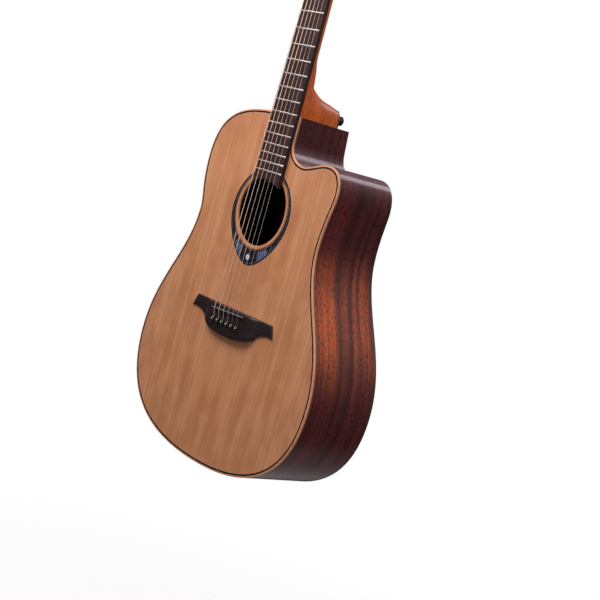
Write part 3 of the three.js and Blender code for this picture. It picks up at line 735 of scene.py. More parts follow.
# The linings inside the box are near black.
NEAR_BLACK_LINING = Wood("near_black_lining", "spruce", (0.05, 0.03, 0.022), (0.03, 0.018, 0.012),
                      (0.04, 0.022, 0.016), lines=500, bands=60, rough=0.8, coat=0, glint=0.1)
SPRUCE = Wood("planed_spruce", "spruce", (0.62, 0.45, 0.25), (0.45, 0.28, 0.13), (0.56, 0.38, 0.2),
              lines=500, line_share=0.4, bands=60, band_share=0.4, rough=0.65, coat=0, glint=0.2)
PALE_STRIP = Wood("pale_maple_strip", "pale_binding", (0.74, 0.35, 0.19), (0.5, 0.22, 0.12),
                  (0.64, 0.29, 0.15), GrainRun.MAPPED, lines=900, line_share=0.35, bands=200,
                  band_share=0.4, rough=0.38, coat=0.6, coat_rough=0.12, relief=5e-6)
PALE_LINE = Plain("pale_line", "pale_binding", (0.62, 0.4, 0.28), (0.5, 0.3, 0.2), rough=0.4, coat=0.2,
                  glint=0.3)
BROWN_LINE = Plain("brown_line", "pale_binding", (0.34, 0.11, 0.045), (0.2, 0.06, 0.025), rough=0.4,
                   coat=0.3, glint=0.3)
DARK_LINE = Plain("dark_line", "black_binding", (0.014, 0.009, 0.009), (0.007, 0.005, 0.005), rough=0.6,
                  coat=0, glint=0.1)
BLACK_STRIP = Plain("black_strip", "black_binding", (0.012, 0.008, 0.01), (0.02, 0.012, 0.014), coat=0.7)
CHARCOAL = Plain("charcoal_resin", "rosette_inlay", (0.016, 0.015, 0.022), (0.008, 0.0075, 0.011),
                 patch=700, rough=0.6, coat=0, glint=0.1)
ROSETTE_BLACK = Plain("rosette_black", "rosette_inlay", (0.005, 0.004, 0.006), (0.01, 0.008, 0.011),
                      rough=0.6, coat=0, glint=0.1)
ROSETTE_GREY = Plain("rosette_grey_line", "rosette_inlay", (0.2, 0.2, 0.26), (0.12, 0.12, 0.17), coat=0.1)
ROSETTE_BLUE = Plain("blue_shell", "rosette_inlay", (0.03, 0.085, 0.26), (0.015, 0.035, 0.13),
                     patch=900, rough=0.25, coat=0.4)
PEARL = Plain("pearl_shell", "rosette_inlay", (0.66, 0.68, 0.78), (0.5, 0.55, 0.68), patch=500,
              rough=0.2, coat=0.6)
PEARL_DOT = Plain("white_pin_dot", "bone", (0.8, 0.79, 0.76), (0.7, 0.7, 0.68), rough=0.2)
BONE = Plain("polished_bone", "bone", (0.78, 0.72, 0.6), (0.7, 0.62, 0.5), patch=260, rough=0.28,
             under=0.1)
SADDLE_BONE = Plain("grey_saddle", "bone", (0.13, 0.125, 0.14), (0.09, 0.085, 0.1), patch=260, rough=0.4,
                    coat=0.1)
BLACK_PLASTIC = Plain("black_plastic_gloss", "black_plastic", (0.01, 0.01, 0.012),
                      (0.015, 0.015, 0.018), rough=0.25, coat=0.4)
CHROME = Metal("bright_chrome", "chrome", (0.78, 0.79, 0.8), 0.07, 0.08)
FRET_METAL = Metal("nickel_fret", "steel", (0.95, 0.91, 0.88), 0.32, 0.12)
PLAIN_STEEL = Metal("plain_steel", "steel", (0.95, 0.88, 0.84), 0.36, 0.1)
WOUND_BRONZE = Metal("wound_bronze_wire", "wound_bronze", (0.98, 0.78, 0.62), 0.42, 0.12, 2200)


# ---- Sound box ---------------------------------------------------------------------------------


@dataclass
class BodyOutline:
    """The sound box seen from the front, with its cutaway on the treble side.

    Attributes:
        lower: The widest place of the lower bout.
        waist: Half widths at the waist, bass then treble, and its height.
        upper: The widest place of the upper bout.
        horn: The side of the horn, and its top.
        cutaway: The bottom of the cutaway, and the foot of its straight wall.
        top: The height of the flat end.
        samples: Points on the outline.
        edge: The outline, anticlockwise from the corner by the neck.
    """

    lower: Point = (204, 144.5)
    waist: Point3 = (141, 137, 350.5)
    upper: Point = (153.5, 428.5)
    horn: tuple[Point, Point] = ((146, 424.5), (113, 461.2))
    cutaway: tuple[Point, Point] = ((64, 450.2), (29, 480.5))
    top: float = 515
    samples: int = 720
    edge: Array = field(init=False)

    def __post_init__(self) -> None:
        """Joins the curves of the bouts, the waist and the cutaway and spaces the points evenly."""
        (lx, lz), (bass, treble, wz), (ux, uz) = self.lower, self.waist, self.upper
        (hx, hz), (tx, tz) = self.horn
        (cx, cz), (wx, wall_z) = self.cutaway
        top = self.top
        parts = [
            straight((wx, top), (-wx, top)),
            bezier([(-wx, top), (-94, top - 2), (-ux, top - 12.5), (-ux, uz)]),
            bezier([(-ux, uz), (-ux, uz - 46), (-bass, wz + 18), (-bass, wz)]),
            bezier([(-bass, wz), (-bass, wz - 71), (-lx, lz + 86), (-lx, lz)]),
            bezier([(-lx, lz), (-lx, lz - 107), (-122, 0), (0, 0)]),
            bezier([(0, 0), (122, 0), (lx, lz - 107), (lx, lz)]),
            bezier([(lx, lz), (lx, lz + 86), (treble, wz - 71), (treble, wz)]),
            bezier([(treble, wz), (treble, wz + 35), (hx, hz - 15), (hx, hz)]),
            bezier([(hx, hz), (hx, hz + 18), (tx + 26, tz), (tx, tz)]),
            bezier([(tx, tz), (tx - 16, tz), (cx + 12, cz), (cx, cz)]),
            bezier([(cx, cz), (cx - 14, cz), (wx, wall_z - 22), (wx, wall_z)]),
            straight((wx, wall_z), (wx, top)),
            np.array([[wx, top]], float),
        ]
        path = np.vstack(parts)
        places = np.linspace(0, lengths(path)[-1], self.samples, endpoint=False)
        self.edge = along(path, places)

    def run(self) -> Array:
        """Gives how far round each point is, with the full length last."""
        return lengths(np.vstack([self.edge, self.edge[:1]]))


@dataclass
class Drop:
    """The rosette's drop shape: an arc over the sound hole that narrows to a tip below it.

    Attributes:
        half: The arc's radius.
        centre_z: The arc's centre.
        tip_z: The tip's height.
        hole_z: The sound hole's centre, which angles are taken about.
    """

    half: float = 65.5
    centre_z: float = 370.5
    tip_z: float = 293
    hole_z: float = 375.5

    def radius(self, angle: Array) -> Array:
        """Finds the drop's edge at the given angles.

        Args:
            angle: Angles about the hole's centre, from the treble side.

        Returns:
            The edge's distance from the hole's centre at each.
        """
        turn = np.linspace(0, math.pi, 200)
        arc = np.stack([self.half * np.cos(turn), self.centre_z + self.half * np.sin(turn)], axis=1)
        low = bezier([(-self.half, self.centre_z), (-self.half, self.centre_z - 38),
                      (-24, self.tip_z), (0, self.tip_z)])
        path = np.vstack([arc, low, (low * (-1, 1))[::-1]]) - (0, self.hole_z)
        bearing = np.arctan2(path[:, 1], path[:, 0])
        order = np.argsort(bearing)
        return np.interp(angle, bearing[order], np.hypot(*path.T)[order], period=TAU)

    def loop(self, angle: Array, radius: Array | float) -> Array:
        """Gives the points at the given angles and distances from the hole's centre."""
        return np.stack([radius * np.cos(angle), self.hole_z + radius * np.sin(angle)], axis=-1)


@dataclass
class SoundBox:
    """The soundboard, sides and back with their bindings and linings.

    Attributes:
        outline: The shape from the front.
        drop: The rosette's shape, which is let into the soundboard.
        hole_radius: The sound hole's radius.
        wood_ring: The outer radius of the plain ring round the hole.
        board: The soundboard's thickness.
        binding: The binding's width.
        purfling: How far inside the binding the dark line and then the pale line end.
        recess: How deep the rosette is let in.
        side_lines: How deep on the sides the binding, the dark line and the brown line end.
        back_lip: How far the back binding comes round onto the sides.
        side: The sides' thickness.
        back: The back's thickness.
        dome: How far the back's middle stands out beyond its edge.
        depths: Heights and how deep the box is there.
    """

    outline: BodyOutline = field(default_factory=BodyOutline)
    drop: Drop = field(default_factory=Drop)
    hole_radius: float = 51.5
    wood_ring: float = 56.3
    board: float = 2.8
    binding: float = 2.4
    purfling: Point = (2.5, 3)
    recess: float = 0.8
    side_lines: Point3 = (2.5, 3.2, 4.2)
    back_lip: float = 3
    side: float = 2.2
    back: float = 2.8
    dome: float = 3
    depths: Sequence[Point] = ((-20, 115), (0, 117.5), (130, 119), (260, 116), (350, 111),
                               (430, 104), (540, 92.5))

    def depth(self, z: Array) -> Array:
        """Gives the depth of the back's edge at a height."""
        curve = smooth_line(self.depths)
        return np.interp(z, curve[:, 0], curve[:, 1])

    def level(self, distance: float, depth: float) -> Array:
        """Gives the outline moved inwards, at an even depth."""
        return lift(inset(self.outline.edge, distance), depth)

    def behind(self, distance: float, rise: float) -> Array:
        """Gives the outline moved inwards, so far in front of the back's own curve."""
        loop = inset(self.outline.edge, distance)
        return lift(loop, self.depth(loop[:, 1]) - rise)

    def build(self) -> None:
        """Builds every piece of the box."""
        self.soundboard()
        self.edges()
        self.sides()
        self.back_plate()
        self.linings()
        self.end_graft()

    def soundboard(self) -> None:
        """Builds the soundboard: loops from its edge to the drop, down its recess and to the hole."""
        edge = inset(self.outline.edge, self.binding + self.purfling[1])
        angle = np.arctan2(edge[:, 1] - self.drop.hole_z, edge[:, 0])
        drop = self.drop.loop(angle, self.drop.radius(angle))

        def circle(radius: float, depth: float) -> Array:
            """Gives a ring round the sound hole."""
            return lift(self.drop.loop(angle, radius), depth)

        hole = self.hole_radius
        Shell().ring([
            lift(edge, self.board), lift(edge, 0), lift((edge + drop) / 2, 0), lift(drop, 0),
            lift(drop, self.recess), circle(self.wood_ring, self.recess), circle(self.wood_ring, 0),
            circle(hole + 0.8, 0), circle(hole + 0.25, 0.2), circle(hole, 0.8), circle(hole, self.board),
        ]).make("cedar_soundboard", CEDAR, replaces=["soundboard"])

    def edges(self) -> None:
        """Builds the bindings and the thin lines beside them, each one a small section carried round."""
        run, width, lip = self.outline.run(), self.binding, self.back_lip
        bound, dark_end, brown_end = self.side_lines
        Shell().ring([self.level(0, bound), self.level(0, 1), self.level(0.3, 0.3), self.level(1, 0),
                      self.level(width, 0), self.level(width, bound)], run).make(
            "front_binding", PALE_STRIP, replaces=["binding_top"])
        dark, pale = (width + reach for reach in self.purfling)
        for name, finish, low, high in (("front_purfling_dark", DARK_LINE, width, dark),
                                        ("front_purfling_pale", PALE_LINE, dark, pale)):
            Shell().ring([self.level(low, 0), self.level(high, 0), self.level(high, 1.5),
                          self.level(low, 1.5)], run).make(name, finish)
        for name, finish, low, high in (("side_line_dark", DARK_LINE, bound, dark_end),
                                        ("side_line_brown", BROWN_LINE, dark_end, brown_end)):
            Shell().ring([self.level(0, low), self.level(1.5, low), self.level(1.5, high),
                          self.level(0, high)], run).make(name, finish)
        Shell().ring([self.behind(0, lip), self.behind(0, 1), self.behind(0.3, 0.3), self.behind(1, 0),
                      self.behind(width, 0), self.behind(width, lip)], run).make(
            "back_binding", BLACK_STRIP, replaces=["binding_back"])
        Shell().ring([self.behind(width, 0), self.behind(width + 0.6, 0), self.behind(width + 0.6, 1.5),
                      self.behind(width, 1.5)], run).make("back_purfling", PALE_LINE)

    def sides(self) -> None:
        """Builds the sides: a thin wall from the front lines to the back binding, in even steps."""
        front = self.side_lines[-1]
        outer, inner = self.outline.edge, inset(self.outline.edge, self.side)
        far = self.depth(outer[:, 1]) - self.back_lip
        steps = np.linspace(0, 1, 9)
        loops = [lift(outer, front + s * (far - front)) for s in steps]
        loops += [lift(inner, front + s * (far - front)) for s in steps[::-1]]
        Shell().ring(loops, self.outline.run()).make(
            "bent_sides", SIDE_MAHOGANY, replaces=["side_bass", "side_treble"])

    def back_plate(self) -> None:
        """Builds the domed back: rings drawn in about its middle, y = edge depth + dome (1 - s^2)."""
        rim = self.binding + 0.6
        edge = inset(self.outline.edge, rim)
        middle = np.array([0, 300.0])
        steps = np.linspace(0, 1, 25)
        rings = [middle + s * (edge - middle) for s in steps]

        def surface(under: float) -> list[Array]:
            """Gives the rings at the domed depth, so far inside it."""
            return [lift(ring, self.depth(ring[:, 1]) + self.dome * (1 - s * s) - under)
                    for ring, s in zip(rings, steps)]

        Shell().add(np.stack(surface(0) + surface(self.back - 0.6)[::-1])).make(
            "bookmatched_back", BACK_MAHOGANY, replaces=["back_plate"])
        # A thin dark layer on the back's inside: painted shade, seen through the sound hole.
        Shell().add(np.stack(surface(self.back - 0.6) + surface(self.back)[::-1])).make(
            "back_inner_face", SHADED_INNER_MAHOGANY)
        z = np.linspace(5.5, self.outline.top - 4, 90)
        reach = np.where(z > middle[1], self.outline.top - rim - middle[1], middle[1] - rim)
        y = self.depth(z) + self.dome * (1 - ((z - middle[1]) / reach) ** 2)
        for name, finish, half, proud in (("back_strip_dark", DARK_LINE, 2.6, 0.06),
                                          ("back_strip_pale", PALE_STRIP, 1.0, 0.1)):
            Shell().bar(sections((-half, y - 0.7, z), (-half, y + proud, z), (half, y + proud, z),
                                 (half, y - 0.7, z))).make(name, finish)

    def linings(self) -> None:
        """Builds the notched strips inside both edges: a tapered section whose width drops at each cut."""
        edge = along(np.vstack([self.outline.edge, self.outline.edge[:1]]),
                     np.linspace(0, self.outline.run()[-1], 1080, endpoint=False))
        notch = np.tile([5.5, 5.5, 5.5, 1.6], len(edge) // 4)[:, None]
        outer = inset(edge, self.side + 0.1)
        inwards = inset(edge, self.side + 1.1) - outer
        inner, slim = outer + inwards * notch, outer + inwards * 1.5
        front = [lift(outer, 3), lift(inner, 3), lift(inner, 7), lift(slim, 15), lift(outer, 15)]
        Shell().ring(front).make("front_lining", NEAR_BLACK_LINING, replaces=["lining_top"])
        far = self.depth(edge[:, 1]) - self.back_lip - 0.2
        back = [lift(outer, far), lift(inner, far), lift(inner, far - 4), lift(slim, far - 12),
                lift(outer, far - 12)]
        Shell().ring(back).make("back_lining", NEAR_BLACK_LINING, replaces=["lining_back"])

    def end_graft(self) -> None:
        """Builds the wedge over the joint of the sides at the tail, between two pale lines."""
        edge = self.outline.edge
        tail = edge[np.abs(edge[:, 0]) < 60]
        tail = tail[tail[:, 1] < 60]
        tail = tail[np.argsort(tail[:, 0])]
        front, far = self.side_lines[-1], float(self.depth(np.zeros(1))[0]) - self.back_lip
        y = np.linspace(front, far, 12)[:, None]
        taper = (y - front) / (far - front)

        def strip(low: float, high: float, proud: float) -> Array:
            """Gives the sections of a strip of the wedge.

            Args:
                low: Where the strip starts, as a share of the wedge's half width.
                high: Where it ends.
                proud: How far it stands out from the sides.

            Returns:
                Sections by depth, through five corners.
            """
            half = 5 + 3.5 * taper
            x = np.hstack([half * low, half * (low + high) / 2, half * high, half * high, half * low])
            z = np.interp(x, tail[:, 0], tail[:, 1])
            z[:, :3] -= proud
            z[:, 3:] += 1
            return np.stack([x, np.broadcast_to(y, x.shape), z], axis=-1)

        Shell().bar(strip(-0.94, 0.94, 0.1)).make("end_graft", BLACK_STRIP)
        Shell().bar(strip(-1.08, -0.94, 0.1)).bar(strip(0.94, 1.08, 0.1)).make("end_graft_lines", PALE_LINE)


@dataclass
class Rosette:
    """The inlaid band round the sound hole, with its lines, shell fans and one plain dot.

    Attributes:
        drop: The band's outer shape.
        inner: The band's inner radius.
        proud: How far the inlays stand over the soundboard.
        fan: The fans' first and last angle from straight down, in degrees.
        bars: Bars in each fan.
        blue_reach: The fans' inner radius, and how far they stay inside the drop's edge.
        bar_reach: The same for the bars and the lines.
        dot: Where the dot is.
        dot_radius: The dot's radius.
    """

    drop: Drop = field(default_factory=Drop)
    inner: float = 56.3
    proud: float = 0.03
    fan: Point = (18.5, 33)
    bars: int = 5
    blue_reach: Point = (60.6, 3.9)
    bar_reach: Point = (60.4, 3.7)
    dot: Point3 = (-1.5, 0, 305.5)
    dot_radius: float = 4.3

    def build(self) -> None:
        """Builds the rings from the outside in, then the fans, the slanted lines and the dot."""
        angle = np.linspace(-math.pi, math.pi, 360, endpoint=False)
        edge = self.drop.radius(angle)
        rings = (
            ("rosette_rim", PALE_LINE, edge, edge - 0.5),
            ("rosette_outer_black", ROSETTE_BLACK, edge - 0.5, edge - 2.3),
            ("rosette_band", CHARCOAL, edge - 2.3, 58.1),
            ("rosette_inner_line", PALE_STRIP, 58.1, 57.6),
            ("rosette_inner_black", ROSETTE_BLACK, 57.6, self.inner),
        )
        for name, finish, outer, inner in rings:
            self.band(angle, outer, inner, self.proud, 0.75).make(
                name, finish, replaces=["rosette"] if name == "rosette_band" else ())
        self.band(angle, edge - 3.4, edge - 3.85, 0.07, 0).make("rosette_grey_line", ROSETTE_GREY)
        self.fans()
        self.slants()

    def band(self, angle: Array, outer: Array, inner: Array | float, proud: float,
             foot: float) -> Shell:
        """Gives a closed band round the hole.

        Args:
            angle: The angles of its points.
            outer: The distance of its outer edge from the hole's centre.
            inner: The distance of its inner edge.
            proud: How far its face stands out of the soundboard.
            foot: How deep it is let in.

        Returns:
            A shell that holds the band.
        """
        corners = [(outer, foot), (outer, -proud), (inner, -proud), (inner, foot)]
        return Shell().ring([lift(self.drop.loop(angle, radius), y) for radius, y in corners])

    def plate(self, near: float, far: float, reach: Point, height: float) -> Array:
        """Gives a thin plate between two angles from straight down.

        Args:
            near: The first angle, in degrees towards the treble side.
            far: The last angle.
            reach: Its inner radius, and how far it stays inside the drop's edge.
            height: How far its face stands out.

        Returns:
            Sections at each angle, through the four corners of the plate's thickness.
        """
        angle = np.radians(np.linspace(near, far, 8) - 90)
        low, edge = reach[0], self.drop.radius(angle) - reach[1]
        corners = [(low, 0), (low, -height), (edge, -height), (edge, 0)]
        return np.stack([lift(self.drop.loop(angle, radius), y) for radius, y in corners], axis=1)

    def fans(self) -> None:
        """Builds a blue sector on each side with pale bars that run out from the hole's centre."""
        first, last = self.fan
        blue, pale = Shell(), Shell()
        for side in (-1, 1):
            blue.bar(self.plate(side * first, side * last, self.blue_reach, 0.09))
            for start in np.linspace(first - 0.4, last - 0.1, self.bars):
                pale.bar(self.plate(side * start, side * (start + 0.5), self.bar_reach, 0.13))
        blue.make("rosette_fans", ROSETTE_BLUE)
        pale.make("rosette_fan_bars", PEARL)

    def slants(self) -> None:
        """Builds a slanted line beyond each fan, a line beside the dark block, and the dot in it."""
        shell = Shell()
        for side in (-1, 1):
            start = self.drop.loop(np.radians(side * 45.5 - 90), 60.5)
            turn = np.radians(side * 37 - 90)
            end = self.drop.loop(turn, self.drop.radius(turn) - 2)
            across = np.array([end[1] - start[1], start[0] - end[0]])
            across *= 0.4 / np.linalg.norm(across)
            ends = np.array([start, end])
            corners = [(ends - across, 0), (ends - across, -0.11), (ends + across, -0.11), (ends + across, 0)]
            shell.bar(np.stack([lift(place, y) for place, y in corners], axis=1))
            shell.bar(self.plate(side * 15.5, side * 16.1, self.bar_reach, 0.11))
        shell.make("rosette_slants", ROSETTE_GREY)
        rim = self.dot_radius
        disc = [(0, -0.16), (rim - 0.3, -0.16), (rim, -0.1), (rim, 0.2), (0, 0.2)]
        Shell().add(turned(disc, self.dot, Turn.BACK, 40)).make("rosette_dot", PEARL)


# ---- Neck --------------------------------------------------------------------------------------


@dataclass
class Neck:
    """The neck with its heel and headstock, and the fretboard with its frets.

    Attributes:
        nut_z: Where the fretboard ends and the nut begins.
        body_z: Where the neck meets the sides.
        scale: The length of a string from nut to saddle.
        nut_half: Half the fretboard's width at the nut.
        taper: How much that half grows a millimetre down the board.
        thick: The shaft's depth at the nut and near the body.
        heel: The heel's back line, as depths and heights.
        heel_half: The heel's half widths at the shaft and at its cap.
        cap: The depths of the heel cap's foot, its edge and its face.
        frets: How many frets.
        board: The board's front at its middle, its front at its edges, and its back.
        end_half: Half the board's width at its hollow end.
        end_radius: That end's radius.
        end_z: The centre of that end's arc.
        head_back: How deep the headstock's back is.
        head_length: The headstock's length.
        crown: How high its rounded end is.
    """

    nut_z: float = 876
    body_z: float = 515.2
    scale: float = 650
    nut_half: float = 21.5
    taper: float = 11 / 650
    thick: Point = (12.5, 13.5)
    heel: Sequence[Point] = ((13.5, 604), (15, 588), (17.5, 574), (23, 564), (32, 557), (44, 550.5),
                             (56, 546.8), (70, 544.2), (85, 540.5))
    heel_half: Point = (27.7, 11)
    cap: Point3 = (85, 87, 87.7)
    frets: int = 20
    board: Point3 = (-7, -6.4, -0.28)
    end_half: float = 27.9
    end_radius: float = 48
    end_z: float = 371.5
    head_back: float = 14.8
    head_length: float = 186
    crown: float = 10

    def half(self, z: Array | float) -> Array:
        """Gives half the fretboard's width at a height."""
        return self.nut_half + self.taper * (self.nut_z - np.asarray(z, float))

    def fret_z(self, number: int) -> float:
        """Gives a fret's height, nut - scale (1 - 2^(-n/12))."""
        return self.nut_z - self.scale * (1 - 2 ** (-number / 12))

    def heel_share(self, rise: Array) -> Array:
        """Gives the heel's width as a share of its root's, (1 - s^2.6)^(1/2.6), where s is rise."""
        return np.clip(1 - rise**2.6, 0, 1) ** (1 / 2.6)

    def head_half(self, z: Array) -> Array:
        """Gives half the headstock's width: a flare from the nut, a straight side, and a crown.

        Args:
            z: Heights from the headstock's foot.

        Returns:
            Half the width at each.
        """
        end = self.head_length
        flare = bezier([(self.nut_half, 0), (self.nut_half, 14), (29, 14), HEAD_FOOT])
        crown = bezier([HEAD_SHOULDER, (22, end - 3), (12, end), (0, end)])
        line = np.vstack([flare, crown, [[0, end]]])
        return np.interp(z, line[:, 1], line[:, 0])

    def build(self) -> None:
        """Builds every piece of the neck."""
        self.shaft()
        self.heel_cap()
        self.fretboard()
        self.fret_wires()
        self.side_dots()
        self.nut()
        self.veneer()
        self.truss_cover()

    def nose(self, y: Array) -> Array:
        """Finds how far up the neck the heel reaches, by its back line.

        Args:
            y: Depths.

        Returns:
            The height that it reaches at each.
        """
        line = smooth_line(self.heel)
        start_y, start_z = self.heel[0]
        return np.where(y < start_y, start_z + 3 * (start_y - y), np.interp(y, line[:, 0], line[:, 1]))

    def neck_sections(self) -> Array:
        """Works out half of each cross-section from the body to the nut.

        The shaft's half width is h (1 - (y/t)^2)^(1/2). The heel's is w (1 - s^2.6)^(1/2.6), where
        s is how far up the neck the section is on the way to the heel's nose at that depth, and w
        narrows with depth. The larger of the two is taken, with a soft join that grows with depth.

        Returns:
            Half sections as (x, y, z) by station and point, from the front edge to the middle.
        """
        line = smooth_line(self.heel)
        start_z = self.heel[0][1]
        z = np.concatenate([[self.body_z], np.linspace(self.body_z + 3, 539.5, 10),
                            line[::-3, 1][1:-1], np.linspace(start_z, 868, 60)])
        z = np.unique(np.round(z, 4))
        order = np.argsort(line[:, 1])
        shaft = np.interp(z, [start_z, self.nut_z], self.thick[::-1])
        back = np.where(z < start_z, np.interp(z, line[order, 1], line[order, 0]), shaft)
        angle = np.linspace(0, math.pi / 2, 41)[None]
        y = back[:, None] * np.sin(angle)
        depth = shaft[:, None]
        stem = self.half(z)[:, None] * np.sqrt(1 - np.clip(y / depth, 0, 1) ** 2)
        width = np.interp(y, [0, self.heel[-1][0]], self.heel_half)
        reach = self.nose(y) - self.body_z
        share = np.clip((z[:, None] - self.body_z) / np.maximum(reach, 1), 0, 1)
        heel = width * self.heel_share(share)
        blend = np.clip(0.55 * y, 0, 9) + 1e-6
        near = np.clip(blend - np.abs(stem - heel), 0, None) / blend
        x = np.maximum(stem, heel) + near**2 * blend / 4 * ((stem > 0) & (heel > 0))
        x = np.minimum(x, np.maximum(self.half(z)[:, None], heel))
        x[:, -1] = np.where(z <= self.heel[-1][1], x[:, -1], 0)
        return np.stack([x, y, np.broadcast_to(z[:, None], x.shape)], axis=-1)

    def head_sections(self, count: int) -> Array:
        """Works out half of each cross-section from just before the nut to the headstock's end.

        Each goes from the shaft's rounded back to a rectangle with rounded corners, and its plane
        turns back with the headstock.

        Args:
            count: Points in each half section.

        Returns:
            Half sections as (x, y, z) by station and point, from the front edge to the middle.
        """
        z = np.concatenate([np.linspace(-8, 36, 34), np.linspace(40, 174, 24),
                            HEAD_SHOULDER[1] + self.crown * np.sin(np.linspace(0, math.pi / 2, 14))])
        square = ease(z, -6, 24)[:, None]
        turn = ease(z, -10, 8)[:, None]
        half = np.where(z < 0, self.half(HEAD_PIVOT + z), self.head_half(np.maximum(z, 0)))[:, None]
        front = 1.85 * ease(z, -3, 1)[:, None]
        back = np.interp(z, [-8, 30], [self.thick[0], self.head_back])[:, None]
        angle = np.linspace(0, math.pi / 2, count)[None]
        oval = np.stack([half * np.cos(angle), back * np.sin(angle) + 0 * half], axis=-1)
        corner = np.minimum(2.2, half)
        t = np.linspace(0, 1, count)[None]
        arc = np.clip((t - 0.4) / 0.3, 0, 1) * math.pi / 2
        box_x = np.where(t < 0.4, half, np.where(t < 0.7, half - corner * (1 - np.cos(arc)),
                                                 (half - corner) * (1 - (t - 0.7) / 0.3)))
        box_y = np.where(t < 0.4, front + (back - corner - front) * t / 0.4,
                         back - corner * (1 - np.sin(arc)))
        box_y = np.where(t < 0.7, box_y, back)
        boxed = np.stack([box_x, box_y], axis=-1)
        oval[..., 1] = front + oval[..., 1] * (back - front) / back
        flat = oval * (1 - square[..., None]) + boxed * square[..., None]
        points = np.concatenate([flat, np.broadcast_to(z[:, None, None], flat[..., :1].shape)], axis=-1)
        level = points + (0, 0, HEAD_PIVOT)
        return level * (1 - turn[..., None]) + tilt(points) * turn[..., None]

    def shaft(self) -> None:
        """Builds the shaft, heel and headstock as one skin of half sections and their mirror image."""
        lower = self.neck_sections()
        upper = self.head_sections(lower.shape[1])
        rows = np.concatenate([lower[lower[:, 0, 2] < HEAD_PIVOT - 12], upper])
        ring = np.concatenate([rows, rows[:, ::-1] * (-1, 1, 1)], axis=1)
        first, last = ring[:1] * (0, 1, 1), ring[-1:] * (0, 1, 1)
        Shell().add(np.concatenate([first, ring, last])).make(
            "neck_and_headstock", NECK_MAHOGANY, replaces=["neck"])

    def heel_cap(self) -> None:
        """Builds the cap: the heel's own section at its end, carried back with a rounded rim."""
        share = np.sin(np.linspace(0, math.pi / 2, 40))
        z = self.body_z + (self.heel[-1][1] - self.body_z) * share
        half = np.stack([self.heel_half[1] * self.heel_share(share), z], axis=1)
        loop = np.vstack([half, (half * (-1, 1))[::-1][1:]])
        middle = np.array([0, loop[:, 1].mean()])
        foot, rim, face = self.cap
        rows = [(0, foot), (1, foot), (1, rim), (0.97, face), (0, face)]
        Shell().add(np.stack([lift(middle + s * (loop - middle), y) for s, y in rows])).make(
            "heel_cap_plate", BLACK_STRIP, replaces=["heel_cap"])

    def fretboard(self) -> None:
        """Builds the board: columns across it from a hollow end to the nut, with a crowned front."""
        share = np.sin(np.linspace(-1, 1, 33) * math.pi / 2)
        rise = np.linspace(0, 1, 60)[:, None]
        low = self.end_z + np.sqrt(self.end_radius**2 - (self.end_half * share) ** 2)
        z = low + rise * (self.nut_z - low)
        x = self.half(z) * share
        crown, edge, back = self.board
        rounded = 0.5 * np.clip((np.abs(share) - 0.97) / 0.03, 0, 1) ** 2
        y = crown + (edge - crown) * share**2 + rounded + 0 * z
        front = np.stack([x, y, z], axis=-1)
        rear = np.stack([x[:, ::-1], np.full_like(x, back), z[:, ::-1]], axis=-1)
        grid = np.concatenate([front, rear], axis=1)
        caps = [np.concatenate([rear[k : k + 1, ::-1], rear[k : k + 1]], axis=1) for k in (0, -1)]
        Shell().add(np.concatenate([caps[0], grid, caps[1]])).make(
            "rosewood_fretboard", ROSEWOOD, replaces=["fretboard"])

    def fret_wires(self) -> None:
        """Builds the frets: half rounds with lowered ends, across the board's crown."""
        crown, edge, _ = self.board
        shell = Shell()
        bead = np.linspace(0, math.pi, 9)
        for number in range(1, self.frets + 1):
            z = self.fret_z(number)
            half = float(self.half(z)) - 0.15
            share = np.concatenate([[-1], np.linspace(-0.975, 0.975, 19), [1]])
            surface = crown + (edge - crown) * share**2
            low = np.where(np.abs(share) > 0.99, 0.45, 1)[:, None]
            y = surface[:, None] + 0.25 - 1.25 * low * np.sin(bead)
            x = np.broadcast_to((half * share)[:, None], y.shape)
            shell.bar(np.stack([x, y, z + np.broadcast_to(1.1 * np.cos(bead), y.shape)], axis=-1))
        shell.make("fret_wires", FRET_METAL)

    def side_dots(self) -> None:
        """Builds the small position dots on the board's bass edge, midway between frets."""
        shell = Shell()
        profile = [(0, -0.4), (1, -0.4), (1, 0.08), (0, 0.08)]
        for number, shift in ((3, 0), (5, 0), (7, 0), (9, 0), (12, -3.2), (12, 3.2), (15, 0), (17, 0)):
            z = (self.fret_z(number) + self.fret_z(number - 1)) / 2 + shift
            x = -float(self.half(z))
            grid = turned(profile, (x, -3.2, z), Turn.TREBLE, 16)
            grid[..., 0] = 2 * x - grid[..., 0]
            shell.add(grid)
        shell.make("side_dots", PEARL_DOT)

    def nut(self) -> None:
        """Builds the nut, whose top dips at each string by a narrow bell curve."""
        x = np.linspace(-21.6, 21.6, 145)
        strings = np.linspace(-18, 18, 6)[None]
        dip = np.exp(-(((x[:, None] - strings) / 0.55) ** 2)).max(axis=1)
        top = -9.1 + 0.4 * (x / 21.6) ** 2 + 1.0 * dip
        low, high = self.nut_z - 0.05, self.nut_z + 5
        grid = sections((x, 0.3, low), (x, top + 0.5, low), (x, top, low + 0.5),
                        (x, top + 0.35, high - 0.8), (x, top + 1.1, high - 0.1), (x, -0.2, high - 0.1))
        Shell().bar(grid).make("bone_nut", BONE, replaces=["nut"])

    def veneer(self) -> None:
        """Builds the dark face of the headstock, a plate with a softened rim."""
        rise = (self.crown - 0.1) * np.sin(np.linspace(0, math.pi / 2, 16))
        z = np.concatenate([np.linspace(0.3, 36, 24), np.linspace(40, 174, 20), HEAD_SHOULDER[1] + rise])
        half = np.maximum(self.head_half(z) - 0.05, 0)
        rim = np.minimum(0.5, half)
        grid = sections((-half, 1.9, z), (-half, 0.7, z), (rim - half, 0.3, z), (half - rim, 0.3, z),
                        (half, 0.7, z), (half, 1.9, z))
        Shell().bar(tilt(grid)).make("headstock_face", ROSEWOOD, replaces=["head_veneer"])

